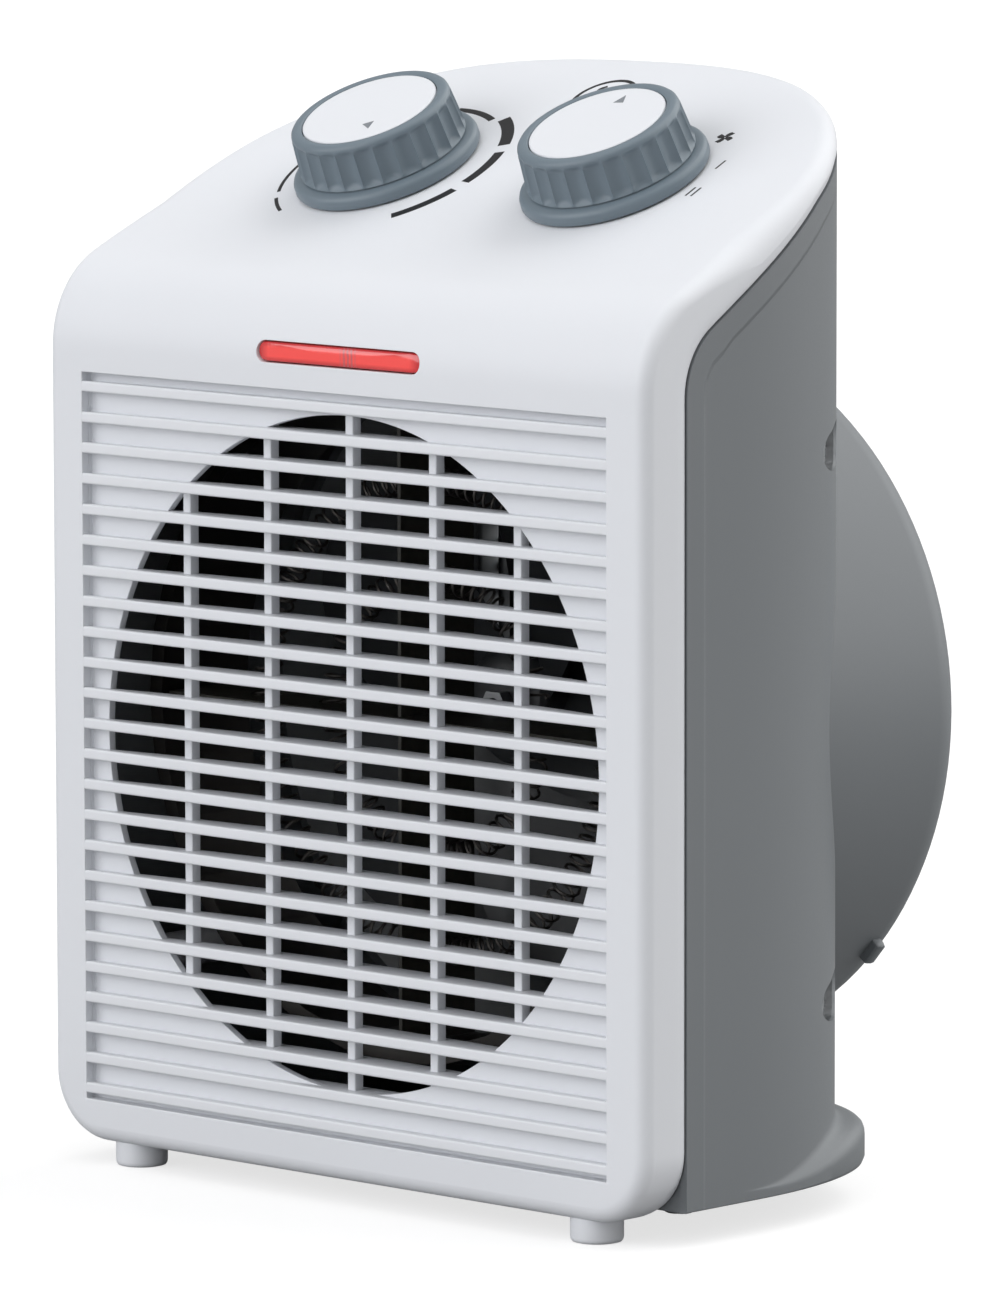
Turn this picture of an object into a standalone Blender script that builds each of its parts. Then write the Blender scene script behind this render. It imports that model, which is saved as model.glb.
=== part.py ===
"""Upright fan convector heater, modelled as an assembly of separate pieces.

Metres, +Z up. The front faces -Y and the origin is at the middle of the footprint, on the floor.
Depths named *_Y are measured back from the plane of the front panel and placed with at_y().
"""

import math

import bmesh
import bpy
from mathutils import Matrix, Vector

for old in list(bpy.data.objects):
    bpy.data.objects.remove(old, do_unlink=True)

MM = 0.001

# Overall sizes
BODY_WIDTH = 187 * MM
DRUM_BACK_Y = 120 * MM  # back of the fan drum, which sets the overall depth
GAP = 0.3 * MM  # clearance kept between pieces that touch

# White front cover
WALL = 2.2 * MM
COVER_BOTTOM_Z = 5.5 * MM
COVER_CORNER = 16 * MM  # lower corners of the front panel
EDGE_ROUND = 3.5 * MM
RIM_DEPTH = 13.6 * MM
PANEL_TILT = math.radians(26)  # control panel, up from level towards the back
PANEL_AT_Y = 53.9 * MM
PANEL_AT_Z = 231.3 * MM  # height of the control panel at PANEL_AT_Y
BROW_RADIUS = 24 * MM  # front panel curving into the control panel
SEAM_RADIUS = 18 * MM  # open edge of the rim, turning beside the brow
SEAM_SLOPE = math.radians(32.2)
SEAM_CORNER_Z = 198.2 * MM  # where its two straight stretches would meet
RIM_BACK_DEPTH = 6.5 * MM  # depth of the rim where it runs level with the panel
SEAM_LEVEL_Y = 72 * MM

# Plan of the housing: straight sides, then a superellipse round the back
PLAN_STRAIGHT_Y = 29 * MM
PLAN_BACK_Y = 106.5 * MM
PLAN_POWER = 2.5

# Grille
RECESS_HALF_WIDTH = 82 * MM
RECESS_LOW_Z = 15.3 * MM
RECESS_HIGH_Z = 184.5 * MM
RECESS_DEPTH = 3.2 * MM
FLOOR_THICKNESS = 2 * MM
SLAT_COUNT = 24
SLAT_PITCH = 7.1 * MM
SLAT_HEIGHT = 2.5 * MM
SLAT_TOP_Z = 182.4 * MM
SLAT_EDGE_DEPTH = 3.7 * MM
SLAT_BOW = 6.4 * MM  # extra depth of a slat at the middle
RIB_COUNT = 5
RIB_PITCH = 25.9 * MM
RIB_WIDTH = 2.5 * MM
RIB_FRONT_Y = 3.8 * MM
RIB_DEPTH = 2.6 * MM
OUTLET_RADIUS = 76.9 * MM
OUTLET_Z = 102.5 * MM

# Indicator
LENS_LENGTH = 50.4 * MM
LENS_HEIGHT = 4.4 * MM
LENS_Z = 192.8 * MM
LENS_DEPTH = 4.8 * MM
LENS_FLANGE_Y = 3.4 * MM

# Rear housing, base and drum
HOUSING_BOTTOM_Z = 18.3 * MM
BASE_BOTTOM_Z = 7.6 * MM
BASE_HALF_WIDTH = 91 * MM
BASE_BACK_Y = 110.5 * MM
BASE_POWER = 3.1
BASE_ROUND = 3 * MM
DRUM_RADIUS = 84.7 * MM
DRUM_ROUND = 11 * MM
DRUM_Z = 108.9 * MM
DRUM_WALL = 2.2 * MM
DRUM_FRONT_Y = 66 * MM
DRUM_SIDES = 48
SLOT_PITCH = 11.4 * MM
SLOT_HEIGHT = 5 * MM
SLOT_COUNT = 11
SPOKE_WIDTH = 4 * MM
INTAKE_RADIUS = DRUM_RADIUS - 15.7 * MM
POCKET_RADIUS = 4.8 * MM
POCKET_X = 79.5 * MM
POCKET_Z = (47.4 * MM, 172 * MM)
POCKET_FLOOR_Y = 68 * MM
BOSS_RADIUS = 6.8 * MM
POST_RADIUS = 4.2 * MM
BOSS_FRONT_Y = 60 * MM
GLAND_X = -34 * MM
GLAND_Z = 12.8 * MM
GLAND_HOLE_RADIUS = 4.3 * MM
BASE_FLOOR = 2.4 * MM
BASE_TOP_Z = HOUSING_BOTTOM_Z - GAP
LATCH_ANGLE = math.radians(41)  # round the drum, below level
LATCH_DEPTHS = (107 * MM, 111 * MM)
BASE_SCREWS = ((81 * MM, 24 * MM), (62 * MM, 84 * MM))  # (x, depth) on each side

# Feet
FOOT_RADIUS = 6 * MM
FOOT_X = 71.9 * MM
FOOT_Y = 8 * MM
FOOT_STEM_RADIUS = 2.5 * MM
REAR_FOOT_X = 44 * MM
REAR_FOOT_Y = 90 * MM

# Controls
KNOB_X = 35.6 * MM
SKIRT_RADIUS = 22.3 * MM
GRIP_RADIUS = 19.6 * MM
KNOB_HEIGHT = 15 * MM
KNOB_LIFT = 0.5 * MM  # running gap between the knob and the panel
KNOB_RIBS = 18
RIB_RISE = 0.7 * MM
CAP_RADIUS = 16.1 * MM
CAP_THICKNESS = 1.2 * MM
SHAFT_RADIUS = 3 * MM
BUSH_RADIUS = 4.6 * MM
NUT_RADIUS = 7 * MM
NUT_HEIGHT = 3 * MM
THERMOSTAT_SIZE = (34 * MM, 26 * MM, 16 * MM)
SELECTOR_SIZE = (36 * MM, 30 * MM, 20 * MM)

# Fan and motor
FAN_Z = DRUM_Z
FAN_RADIUS = DRUM_RADIUS - 13.7 * MM
HUB_RADIUS = 14 * MM
FAN_Y = 62 * MM  # middle of the blades
HUB_LENGTH = 16 * MM
BLADE_COUNT = 5
BLADE_FLATTENING = 0.65  # keeps the blades clear of the motor screws behind them
MOTOR_SHAFT_RADIUS = 2 * MM
SHAFT_FRONT_Y = 49 * MM
SHAFT_BACK_Y = 108 * MM
STATOR_FRONT_Y = 84 * MM
STATOR_THICKNESS = 16 * MM
STATOR_HALF_WIDTH = 26 * MM
ROTOR_RADIUS = 12.5 * MM
AIR_GAP = 0.4 * MM
MOTOR_SCREW_X = 20 * MM
MOTOR_BACK_Y = 105.4 * MM
BRACKET_FRONT_Y = 78.5 * MM
BRACKET_THICKNESS = 2.4 * MM
BEARING_RADIUS = 4 * MM

# Heating element
ELEMENT_RING_RADIUS = 75.5 * MM
ELEMENT_RING_WALL = 0.8 * MM
ELEMENT_FRONT_Y = 18 * MM
ELEMENT_BACK_Y = 46 * MM
MICA_THICKNESS = 1 * MM
COIL_RADII = (32 * MM, 54 * MM)
COIL_TUBE_RADIUS = 3.4 * MM
COIL_Y = 32 * MM

ROUND = 32  # sides of a small round piece


def at_y(depth):
    """World Y of a depth measured back from the front panel."""
    return depth - DRUM_BACK_Y / 2


# ---------------------------------------------------------------- making tools


def material(name, colour, roughness, metallic=0.0):
    made = bpy.data.materials.new(name)
    made.use_nodes = True
    shader = made.node_tree.nodes["Principled BSDF"]
    shader.inputs["Base Color"].default_value = (*colour, 1.0)
    shader.inputs["Roughness"].default_value = roughness
    shader.inputs["Metallic"].default_value = metallic
    made.diffuse_color = (*colour, 1.0)
    return made


WHITE = material("white_polypropylene", (0.84, 0.85, 0.88), 0.45)
GREY = material("grey_polypropylene", (0.15, 0.17, 0.18), 0.5)
KNOB_GREY = material("knob_abs", (0.20, 0.25, 0.29), 0.4)
RED_LENS = material("red_polycarbonate", (0.9, 0.11, 0.08), 0.15)
GLASS = material("neon_glass", (0.9, 0.6, 0.45), 0.1)
DARK_PLASTIC = material("dark_nylon", (0.05, 0.05, 0.055), 0.5)
PHENOLIC = material("phenolic", (0.12, 0.07, 0.04), 0.5)
STEEL = material("zinc_plated_steel", (0.62, 0.62, 0.6), 0.35, 1.0)
LAMINATION = material("electrical_steel", (0.35, 0.35, 0.36), 0.5, 1.0)
COPPER = material("enamelled_copper", (0.7, 0.28, 0.12), 0.35, 1.0)
BRONZE = material("sintered_bronze", (0.5, 0.33, 0.15), 0.5, 1.0)
NICHROME = material("nichrome", (0.3, 0.28, 0.27), 0.4, 1.0)
MICA = material("mica_board", (0.55, 0.5, 0.42), 0.6)
FAN_GREY = material("fan_plastic", (0.3, 0.31, 0.32), 0.45)
RUBBER = material("black_rubber", (0.03, 0.03, 0.03), 0.8)
WIRE_SLEEVE = material("silicone_sleeve", (0.7, 0.7, 0.68), 0.5)


def add(name, mesh, finish, parent=None):
    """One named object for a piece, shaded smooth where it is round."""
    mesh.name = name
    mesh.materials.append(finish)
    mesh.shade_smooth()
    mesh.set_sharp_from_angle(angle=math.radians(35))
    piece = bpy.data.objects.new(name, mesh)
    bpy.context.scene.collection.objects.link(piece)
    piece.parent = parent
    return piece


def helper(mesh, parent=None):
    """A cutter or a shape to join, which isn't a piece of the heater."""
    tool = bpy.data.objects.new("helper", mesh)
    bpy.context.scene.collection.objects.link(tool)
    tool.hide_render = True
    tool.display_type = "WIRE"
    tool.parent = parent
    return tool


def combine(piece, mesh, operation):
    """Joins the mesh to the piece (UNION), cuts it out (DIFFERENCE) or keeps what they share."""
    change = piece.modifiers.new(operation.lower(), "BOOLEAN")
    change.operation = operation
    change.object = mesh if isinstance(mesh, bpy.types.Object) else helper(mesh, piece.parent)
    return change


def mesh_of(points, faces):
    mesh = bpy.data.meshes.new("mesh")
    mesh.from_pydata([tuple(p) for p in points], [], faces)
    shape = bmesh.new()
    shape.from_mesh(mesh)
    bmesh.ops.recalc_face_normals(shape, faces=shape.faces)
    shape.to_mesh(mesh)
    shape.free()
    return mesh


def joined(meshes):
    """One mesh that holds several separate shapes."""
    whole = bmesh.new()
    for mesh in meshes:
        whole.from_mesh(mesh)
    result = bpy.data.meshes.new("mesh")
    whole.to_mesh(result)
    whole.free()
    return result


def tube_of_rings(rings, closed=False):
    """Skins equal rings of points one after another, capped unless the row of rings is closed."""
    count = len(rings[0])
    points = [p for ring in rings for p in ring]
    faces = []
    steps = len(rings) if closed else len(rings) - 1
    for i in range(steps):
        a = i * count
        b = (i + 1) % len(rings) * count
        for j in range(count):
            k = (j + 1) % count
            faces.append((a + j, a + k, b + k, b + j))
    if not closed:
        faces.append(tuple(range(count)))
        faces.append(tuple(range(len(points) - count, len(points))))
    return mesh_of(points, faces)


def prism(outline, low, high, axis="Z"):
    """Extrudes a flat outline of (u, v) points along an axis between two heights."""
    order = {"X": lambda u, v, w: (w, u, v), "Y": lambda u, v, w: (u, w, v), "Z": lambda u, v, w: (u, v, w)}
    place = order[axis]
    return tube_of_rings([[place(u, v, w) for u, v in outline] for w in (low, high)])


def box(x, y, z):
    """A box from its three (low, high) ranges."""
    return prism([(x[0], y[0]), (x[1], y[0]), (x[1], y[1]), (x[0], y[1])], z[0], z[1])


def circle(radius, sides=ROUND, centre=(0.0, 0.0), start=0.0):
    turns = (start + 2 * math.pi * i / sides for i in range(sides))
    return [(centre[0] + radius * math.cos(t), centre[1] + radius * math.sin(t)) for t in turns]


def rod(radius, low, high, axis="Z", centre=(0.0, 0.0), sides=ROUND):
    return prism(circle(radius, sides, centre), low, high, axis)


def turned(profile, sides=ROUND, axis="Z", centre=(0.0, 0.0)):
    """A closed (radius, height) profile turned about an axis. Where it starts and ends at radius 0 it is
    capped there, otherwise it runs round to its start, as a ring does."""
    open_ends = profile[0][0] == 0
    body = profile[1:-1] if open_ends else profile
    place = {"Z": lambda u, v, w: (u, v, w), "Y": lambda u, v, w: (u, w, v)}[axis]
    rings = [[place(u, v, h) for u, v in circle(r, sides, centre)] for r, h in body]
    return tube_of_rings(rings, closed=not open_ends)


def arc(centre, radius, start, end, steps):
    """Points of a round stretch of a profile, angles in degrees."""
    angles = (math.radians(start + (end - start) * i / steps) for i in range(steps + 1))
    return [(centre[0] + radius * math.cos(a), centre[1] + radius * math.sin(a)) for a in angles]


def pivot(name, place, tilt=0.0):
    """An empty on an axis. The pieces that turn about it have it as their parent."""
    empty = bpy.data.objects.new(name, None)
    bpy.context.scene.collection.objects.link(empty)
    empty.location = place
    empty.rotation_euler = (tilt, 0, 0)
    return empty


def wire(points, radius, sides=6):
    """A round lead through the given points, smoothed by a Catmull-Rom curve."""
    keys = [Vector(p) for p in points]
    keys = [keys[0] * 2 - keys[1]] + keys + [keys[-1] * 2 - keys[-2]]
    path = []
    for i in range(1, len(keys) - 2):
        before, start, end, after = keys[i - 1 : i + 3]
        for step in range(4):
            t = step / 4
            path.append(
                0.5
                * (
                    2 * start
                    + (end - before) * t
                    + (2 * before - 5 * start + 4 * end - after) * t**2
                    + (3 * start - before - 3 * end + after) * t**3
                )
            )
    path.append(keys[-2])
    return swept(path, radius, sides)


def swept(path, radius, sides):
    """A round tube along a path, its rings square to it."""
    rings = []
    side = (path[1] - path[0]).orthogonal().normalized()
    for i, point in enumerate(path):
        ahead = (path[min(i + 1, len(path) - 1)] - path[max(i - 1, 0)]).normalized()
        side = (side - ahead * side.dot(ahead)).normalized()
        other = ahead.cross(side)
        rings.append(
            [point + side * (radius * u) + other * (radius * v) for u, v in circle(1, sides)]
        )
    return tube_of_rings(rings)


def screw(length, head_radius=3.2 * MM, head_height=2.2 * MM, shank_radius=1.5 * MM):
    """A pan-head screw along +Y, its head at the back and the seat of the head at Y = 0."""
    profile = [
        (0, -length),
        (shank_radius * 0.5, -length),
        (shank_radius, -length + shank_radius),
        (shank_radius, 0),
        (head_radius, 0),
        (head_radius, head_height * 0.5),
        (head_radius * 0.6, head_height),
        (0, head_height),
    ]
    return turned(profile, 12, "Y")


# ---------------------------------------------------------------- outlines


def plan_half_width(depth, inset=0.0):
    """Half the width of the housing's plan at a depth, drawn in by a wall's thickness."""
    half = BODY_WIDTH / 2 - inset
    if depth <= PLAN_STRAIGHT_Y:
        return half
    reach = min((depth - PLAN_STRAIGHT_Y) / (PLAN_BACK_Y - inset - PLAN_STRAIGHT_Y), 1)
    return half * (1 - reach**PLAN_POWER) ** (1 / PLAN_POWER)


def superellipse(half, straight, back, power, steps):
    """(x, depth) points from the right-hand side round to the middle of the back."""
    points = []
    for i in range(steps + 1):
        turn = math.pi / 2 * i / steps
        across = half * math.cos(turn) ** (2 / power)
        points.append((across, straight + (back - straight) * math.sin(turn) ** (2 / power)))
    points[-1] = (0.0, back)
    return points


def mirrored(right):
    """A symmetrical outline, from its right-hand half that ends on the centre line."""
    return right + [(-x, y) for x, y in reversed(right[:-1])]


def panel_z(depth, sink=0.0):
    """Height of the control panel's surface at a depth, or of a surface sunk into it."""
    return PANEL_AT_Z + (depth - PANEL_AT_Y) * math.tan(PANEL_TILT) - sink / math.cos(PANEL_TILT)


def seam_start_z():
    return SEAM_CORNER_Z - SEAM_RADIUS * math.tan((math.pi / 2 - SEAM_SLOPE) / 2)


def seam_z(depth):
    """Height of the rim's open edge at a depth: round beside the brow, straight, then level with
    the panel."""
    turn_end = RIM_DEPTH + SEAM_RADIUS * (1 - math.sin(SEAM_SLOPE))
    if depth < turn_end:
        across = max(SEAM_RADIUS - (depth - RIM_DEPTH), 0)
        return seam_start_z() + math.sqrt(max(SEAM_RADIUS**2 - across**2, 0))
    slope = SEAM_CORNER_Z + (depth - RIM_DEPTH) * math.tan(SEAM_SLOPE)
    return min(slope, panel_z(depth) - RIM_BACK_DEPTH)


# ---------------------------------------------------------------- white front cover


def cover_stations(inset):
    """The right-hand edge of the cover from its bottom to the middle of its back. Each station is
    (corner, inward, rim): the sharp corner, the direction inwards on the sheet there, and the point
    on the rim's open edge. The inset draws it all in, for the inside of the wall."""
    half = BODY_WIDTH / 2 - inset
    radius = COVER_CORNER - inset
    stations = []
    for i in range(5):
        turn = math.radians(90 * i / 4)
        across = half - radius + radius * math.sin(turn)
        height = COVER_BOTTOM_Z + inset + radius - radius * math.cos(turn)
        inward = Vector((-math.sin(turn), 0, math.cos(turn)))
        stations.append((Vector((across, inset, height)), inward, (across, RIM_DEPTH, height)))
    swing = math.pi / 2 - PANEL_TILT
    brow = BROW_RADIUS - inset
    start = panel_z(inset, inset) - brow * math.tan(swing / 2)
    for i in range(7):
        share = i / 6
        turn = swing * share
        corner = Vector((half, inset + brow * (1 - math.cos(turn)), start + brow * math.sin(turn)))
        turn = (math.pi / 2 - SEAM_SLOPE) * share
        depth = RIM_DEPTH + SEAM_RADIUS * (1 - math.cos(turn))
        rim = (half, depth, seam_start_z() + SEAM_RADIUS * math.sin(turn))
        stations.append((corner, Vector((-1, 0, 0)), rim))
    brow_end = stations[-1][0].y
    lead = stations[-1][2][1] - brow_end
    plan = [(half, (brow_end + PLAN_STRAIGHT_Y) / 2)]
    plan += superellipse(half, PLAN_STRAIGHT_Y, PLAN_BACK_Y - inset, PLAN_POWER, 12)
    up = Vector((0, -math.sin(PANEL_TILT), math.cos(PANEL_TILT)))
    corners = [Vector((x, d, panel_z(d, inset))) for x, d in plan]
    for i, corner in enumerate(corners):
        before = corners[i - 1] if i else stations[-1][0]
        after = corners[i + 1] if i + 1 < len(corners) else Vector((-before.x, before.y, before.z))
        inward = up.cross(after - before).normalized()
        left = max(1 - (corner.y - brow_end) / (SEAM_LEVEL_Y - brow_end), 0)
        depth = min(corner.y + lead * left, PLAN_BACK_Y - inset)
        across = plan_half_width(depth, inset) if left else corner.x
        stations.append((corner, inward, (across, depth, seam_z(depth))))
    return stations


def cover_rings(inset, rounding, steps=2):
    """Rings of points from the sheet round the edge to the rim's open edge, right half then left."""
    rings = [[] for _ in range(steps + 2)]
    for corner, inward, rim in cover_stations(inset):
        rim = Vector(rim)
        down = (rim - corner).normalized()
        half_angle = inward.angle(down) / 2
        centre = corner + (inward + down).normalized() * (rounding / math.sin(half_angle))
        reach = rounding / math.tan(half_angle)
        first = (corner + inward * reach - centre) / rounding
        last = (corner + down * reach - centre) / rounding
        swing = first.angle(last)
        for i in range(steps + 1):
            share = i / steps
            arm = first * math.sin(swing * (1 - share)) + last * math.sin(swing * share)
            rings[i].append(centre + arm * (rounding / math.sin(swing)))
        rings[-1].append(rim)
    return [ring + [Vector((-p.x, p.y, p.z)) for p in reversed(ring[:-1])] for ring in rings]


def cover_shell():
    outer = cover_rings(0, EDGE_ROUND)
    inner = cover_rings(WALL, EDGE_ROUND - WALL)
    rings = outer + inner[::-1]
    count = len(rings[0])
    points = [(p.x, at_y(p.y), p.z) for ring in rings for p in ring]
    faces = []
    for i in range(len(rings) - 1):
        for j in range(count):
            k = (j + 1) % count
            faces.append((i * count + j, i * count + k, (i + 1) * count + k, (i + 1) * count + j))
    last = len(points) - count
    for start in (0, last):
        middle = count // 2
        for j in range(middle):
            across = [start + j, start + j + 1, start + count - 2 - j, start + count - 1 - j]
            faces.append(tuple(dict.fromkeys(across)))
    return mesh_of(points, faces)


def slat_outline(front, steps=4):
    """Plan of a slat: straight front, and a back that bows inwards towards the middle."""
    half = RECESS_HALF_WIDTH + 0.8 * MM
    points = [(-half, at_y(front)), (half, at_y(front))]
    for i in range(steps + 1):
        x = half * (1 - 2 * i / steps)
        bow = SLAT_BOW * (1 - (x / half) ** 2)
        points.append((x, at_y(SLAT_EDGE_DEPTH + bow)))
    return points


def rounded_bar(half_length, half_height, steps=4):
    """Outline of a bar with round ends."""
    right = arc((half_length - half_height, 0), half_height, -90, 90, steps)
    return right + [(-x, -y) for x, y in right]


def lens_outline(margin):
    bar = rounded_bar(LENS_LENGTH / 2 + margin, LENS_HEIGHT / 2 + margin)
    return [(x, LENS_Z + z) for x, z in bar]


def make_front_cover():
    cover = add("front_cover", cover_shell(), WHITE)
    edge = 1.8 * MM
    wide = (-RECESS_HALF_WIDTH - edge, RECESS_HALF_WIDTH + edge)
    tall = (RECESS_LOW_Z - edge, RECESS_HIGH_Z + edge)
    pan_back = RECESS_DEPTH + FLOOR_THICKNESS
    combine(cover, box(wide, (at_y(WALL / 2), at_y(pan_back)), tall), "UNION")
    recess = box(
        (-RECESS_HALF_WIDTH, RECESS_HALF_WIDTH),
        (at_y(-5 * MM), at_y(RECESS_DEPTH)),
        (RECESS_LOW_Z, RECESS_HIGH_Z),
    )
    combine(cover, recess, "DIFFERENCE")
    outlet = rod(OUTLET_RADIUS, at_y(-5 * MM), at_y(20 * MM), "Y", (0, OUTLET_Z), 48)
    combine(cover, outlet, "DIFFERENCE")
    slats = []
    for i in range(SLAT_COUNT):
        top = SLAT_TOP_Z - i * SLAT_PITCH
        slats.append(prism(slat_outline(0.05 * MM), top - SLAT_HEIGHT, top))
    combine(cover, joined(slats), "UNION")
    ribs = []
    for i in range(RIB_COUNT):
        x = (i - (RIB_COUNT - 1) / 2) * RIB_PITCH
        reach = math.sqrt(OUTLET_RADIUS**2 - x**2) + 1.5 * MM
        across = (x - RIB_WIDTH / 2, x + RIB_WIDTH / 2)
        deep = (at_y(RIB_FRONT_Y), at_y(RIB_FRONT_Y + RIB_DEPTH))
        ribs.append(box(across, deep, (OUTLET_Z - reach, OUTLET_Z + reach)))
    combine(cover, joined(ribs), "UNION")
    posts = []
    for x in (-POCKET_X, POCKET_X):
        for z in POCKET_Z:
            start, end = at_y(pan_back - 0.4 * MM), at_y(BOSS_FRONT_Y - GAP)
            posts.append(rod(POST_RADIUS, start, end, "Y", (x, z), 12))
    combine(cover, joined(posts), "UNION")
    holes = []
    for x in (-POCKET_X, POCKET_X):
        for z in POCKET_Z:
            holes.append(rod(1.8 * MM, at_y(48 * MM), at_y(BOSS_FRONT_Y), "Y", (x, z), 10))
    for x in (-FOOT_X, FOOT_X):
        stem = FOOT_STEM_RADIUS + GAP
        holes.append(rod(stem, 0, COVER_BOTTOM_Z + 5 * MM, "Z", (x, at_y(FOOT_Y)), 16))
    combine(cover, joined(holes), "DIFFERENCE")
    window = prism(lens_outline(GAP), at_y(-5 * MM), at_y(WALL + 1 * MM), "Y")
    combine(cover, window, "DIFFERENCE")
    for x in (-KNOB_X, KNOB_X):
        bore = rod(BUSH_RADIUS + GAP, -6 * MM, 6 * MM, "Z", sides=20)
        bore.transform(Matrix.Translation(panel_point(x)) @ Matrix.Rotation(PANEL_TILT, 4, "X"))
        combine(cover, bore, "DIFFERENCE")
    return cover


def panel_point(x):
    """A point on the control panel, on the line of the knobs."""
    return Vector((x, at_y(PANEL_AT_Y), PANEL_AT_Z))


def make_indicator():
    front = 0.35 * MM
    lens = prism(lens_outline(0), at_y(front), at_y(LENS_DEPTH), "Y")
    piece = add("indicator_lens", lens, RED_LENS)
    flange = prism(lens_outline(1.5 * MM), at_y(LENS_FLANGE_Y), at_y(LENS_DEPTH), "Y")
    combine(piece, flange, "UNION")
    lamp_y = at_y(8 * MM)
    lamp = rod(2.2 * MM, -7 * MM, 7 * MM, "X", (lamp_y, LENS_Z), 12)
    add("neon_lamp", lamp, GLASS)
    holder = box((-11 * MM, 11 * MM), (lamp_y - 2 * MM, lamp_y + 7 * MM), (LENS_Z - 5 * MM, LENS_Z + 5 * MM))
    piece = add("lamp_holder", holder, DARK_PLASTIC)
    high = (LENS_Z - 2.6 * MM, LENS_Z + 2.6 * MM)
    nest = box((-7.4 * MM, 7.4 * MM), (lamp_y - 9 * MM, lamp_y + 2.6 * MM), high)
    combine(piece, nest, "DIFFERENCE")


# ---------------------------------------------------------------- grey housing, base and drum


def housing_shell():
    """A wall that follows the plan from one side of the cover's rim round the back to the other. Its
    top follows the rim's open edge."""
    front = RIM_DEPTH + GAP
    rings = []
    for inset in (0, WALL):
        half = BODY_WIDTH / 2 - inset
        side = []
        for turn in (0, 20, 40, 58):
            side.append(front + SEAM_RADIUS * (1 - math.cos(math.radians(turn))))
        right = [(half, depth) for depth in side + [(side[-1] + PLAN_STRAIGHT_Y) / 2]]
        right += superellipse(half, PLAN_STRAIGHT_Y, PLAN_BACK_Y - inset, PLAN_POWER, 14)
        plan = mirrored(right)
        low = [(x, at_y(d), HOUSING_BOTTOM_Z) for x, d in plan]
        high = [(x, at_y(d), seam_z(max(d - GAP, RIM_DEPTH)) - GAP) for x, d in plan]
        rings.append((low, high))
    (outer_low, outer_high), (inner_low, inner_high) = rings
    sections = list(zip(outer_low, outer_high, inner_high, inner_low))
    return tube_of_rings(sections)


def plan_solid(low, high, inset=0.0):
    half = BODY_WIDTH / 2 - inset
    right = [(half, RIM_DEPTH)]
    right += superellipse(half, PLAN_STRAIGHT_Y, PLAN_BACK_Y - inset, PLAN_POWER, 14)
    return prism([(x, at_y(d)) for x, d in mirrored(right)], low, high)


def both_sides(x):
    return (-x, x)


def make_rear_housing():
    housing = add("rear_housing", housing_shell(), GREY)
    bosses = []
    for x in both_sides(POCKET_X):
        for z in POCKET_Z:
            bosses.append(rod(BOSS_RADIUS, at_y(BOSS_FRONT_Y), at_y(100 * MM), "Y", (x, z), 20))
    for x, depth in BASE_SCREWS:
        for side in (-1, 1):
            across = sorted((side * (x - 5 * MM), side * BODY_WIDTH / 2))
            deep = (at_y(depth - 5 * MM), at_y(depth + 5 * MM))
            bosses.append(box(across, deep, (HOUSING_BOTTOM_Z, HOUSING_BOTTOM_Z + 14 * MM)))
    bosses = helper(joined(bosses))
    combine(bosses, plan_solid(0, PANEL_AT_Z, WALL / 2), "INTERSECT")
    combine(housing, bosses, "UNION")
    deep = (at_y(PLAN_STRAIGHT_Y + 30 * MM), at_y(130 * MM))
    opening = rod(DRUM_RADIUS + GAP, *deep, "Y", (0, DRUM_Z), DRUM_SIDES)
    combine(housing, opening, "DIFFERENCE")
    cuts = []
    for x in both_sides(POCKET_X):
        for z in POCKET_Z:
            cuts.append(rod(POCKET_RADIUS, at_y(POCKET_FLOOR_Y), at_y(120 * MM), "Y", (x, z), 20))
            cuts.append(rod(1.8 * MM, at_y(50 * MM), at_y(POCKET_FLOOR_Y + MM), "Y", (x, z), 10))
    combine(housing, joined(cuts[0::2]), "DIFFERENCE")
    combine(housing, joined(cuts[1::2]), "DIFFERENCE")
    bores = []
    for x, depth in BASE_SCREWS:
        for side in (-1, 1):
            bores.append(rod(1.8 * MM, 0, HOUSING_BOTTOM_Z + 11 * MM, "Z", (side * x, at_y(depth)), 10))
    combine(housing, joined(bores), "DIFFERENCE")


def base_outline(inset, height):
    """The base's plan, drawn in by an inset, at a height."""
    half = BASE_HALF_WIDTH - inset
    right = [(half - 40 * MM, RIM_DEPTH + GAP + inset), (half, RIM_DEPTH + GAP + inset)]
    right += superellipse(half, PLAN_STRAIGHT_Y, BASE_BACK_Y - inset, BASE_POWER, 12)
    return [(x, at_y(d), height) for x, d in mirrored(right)]


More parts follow.
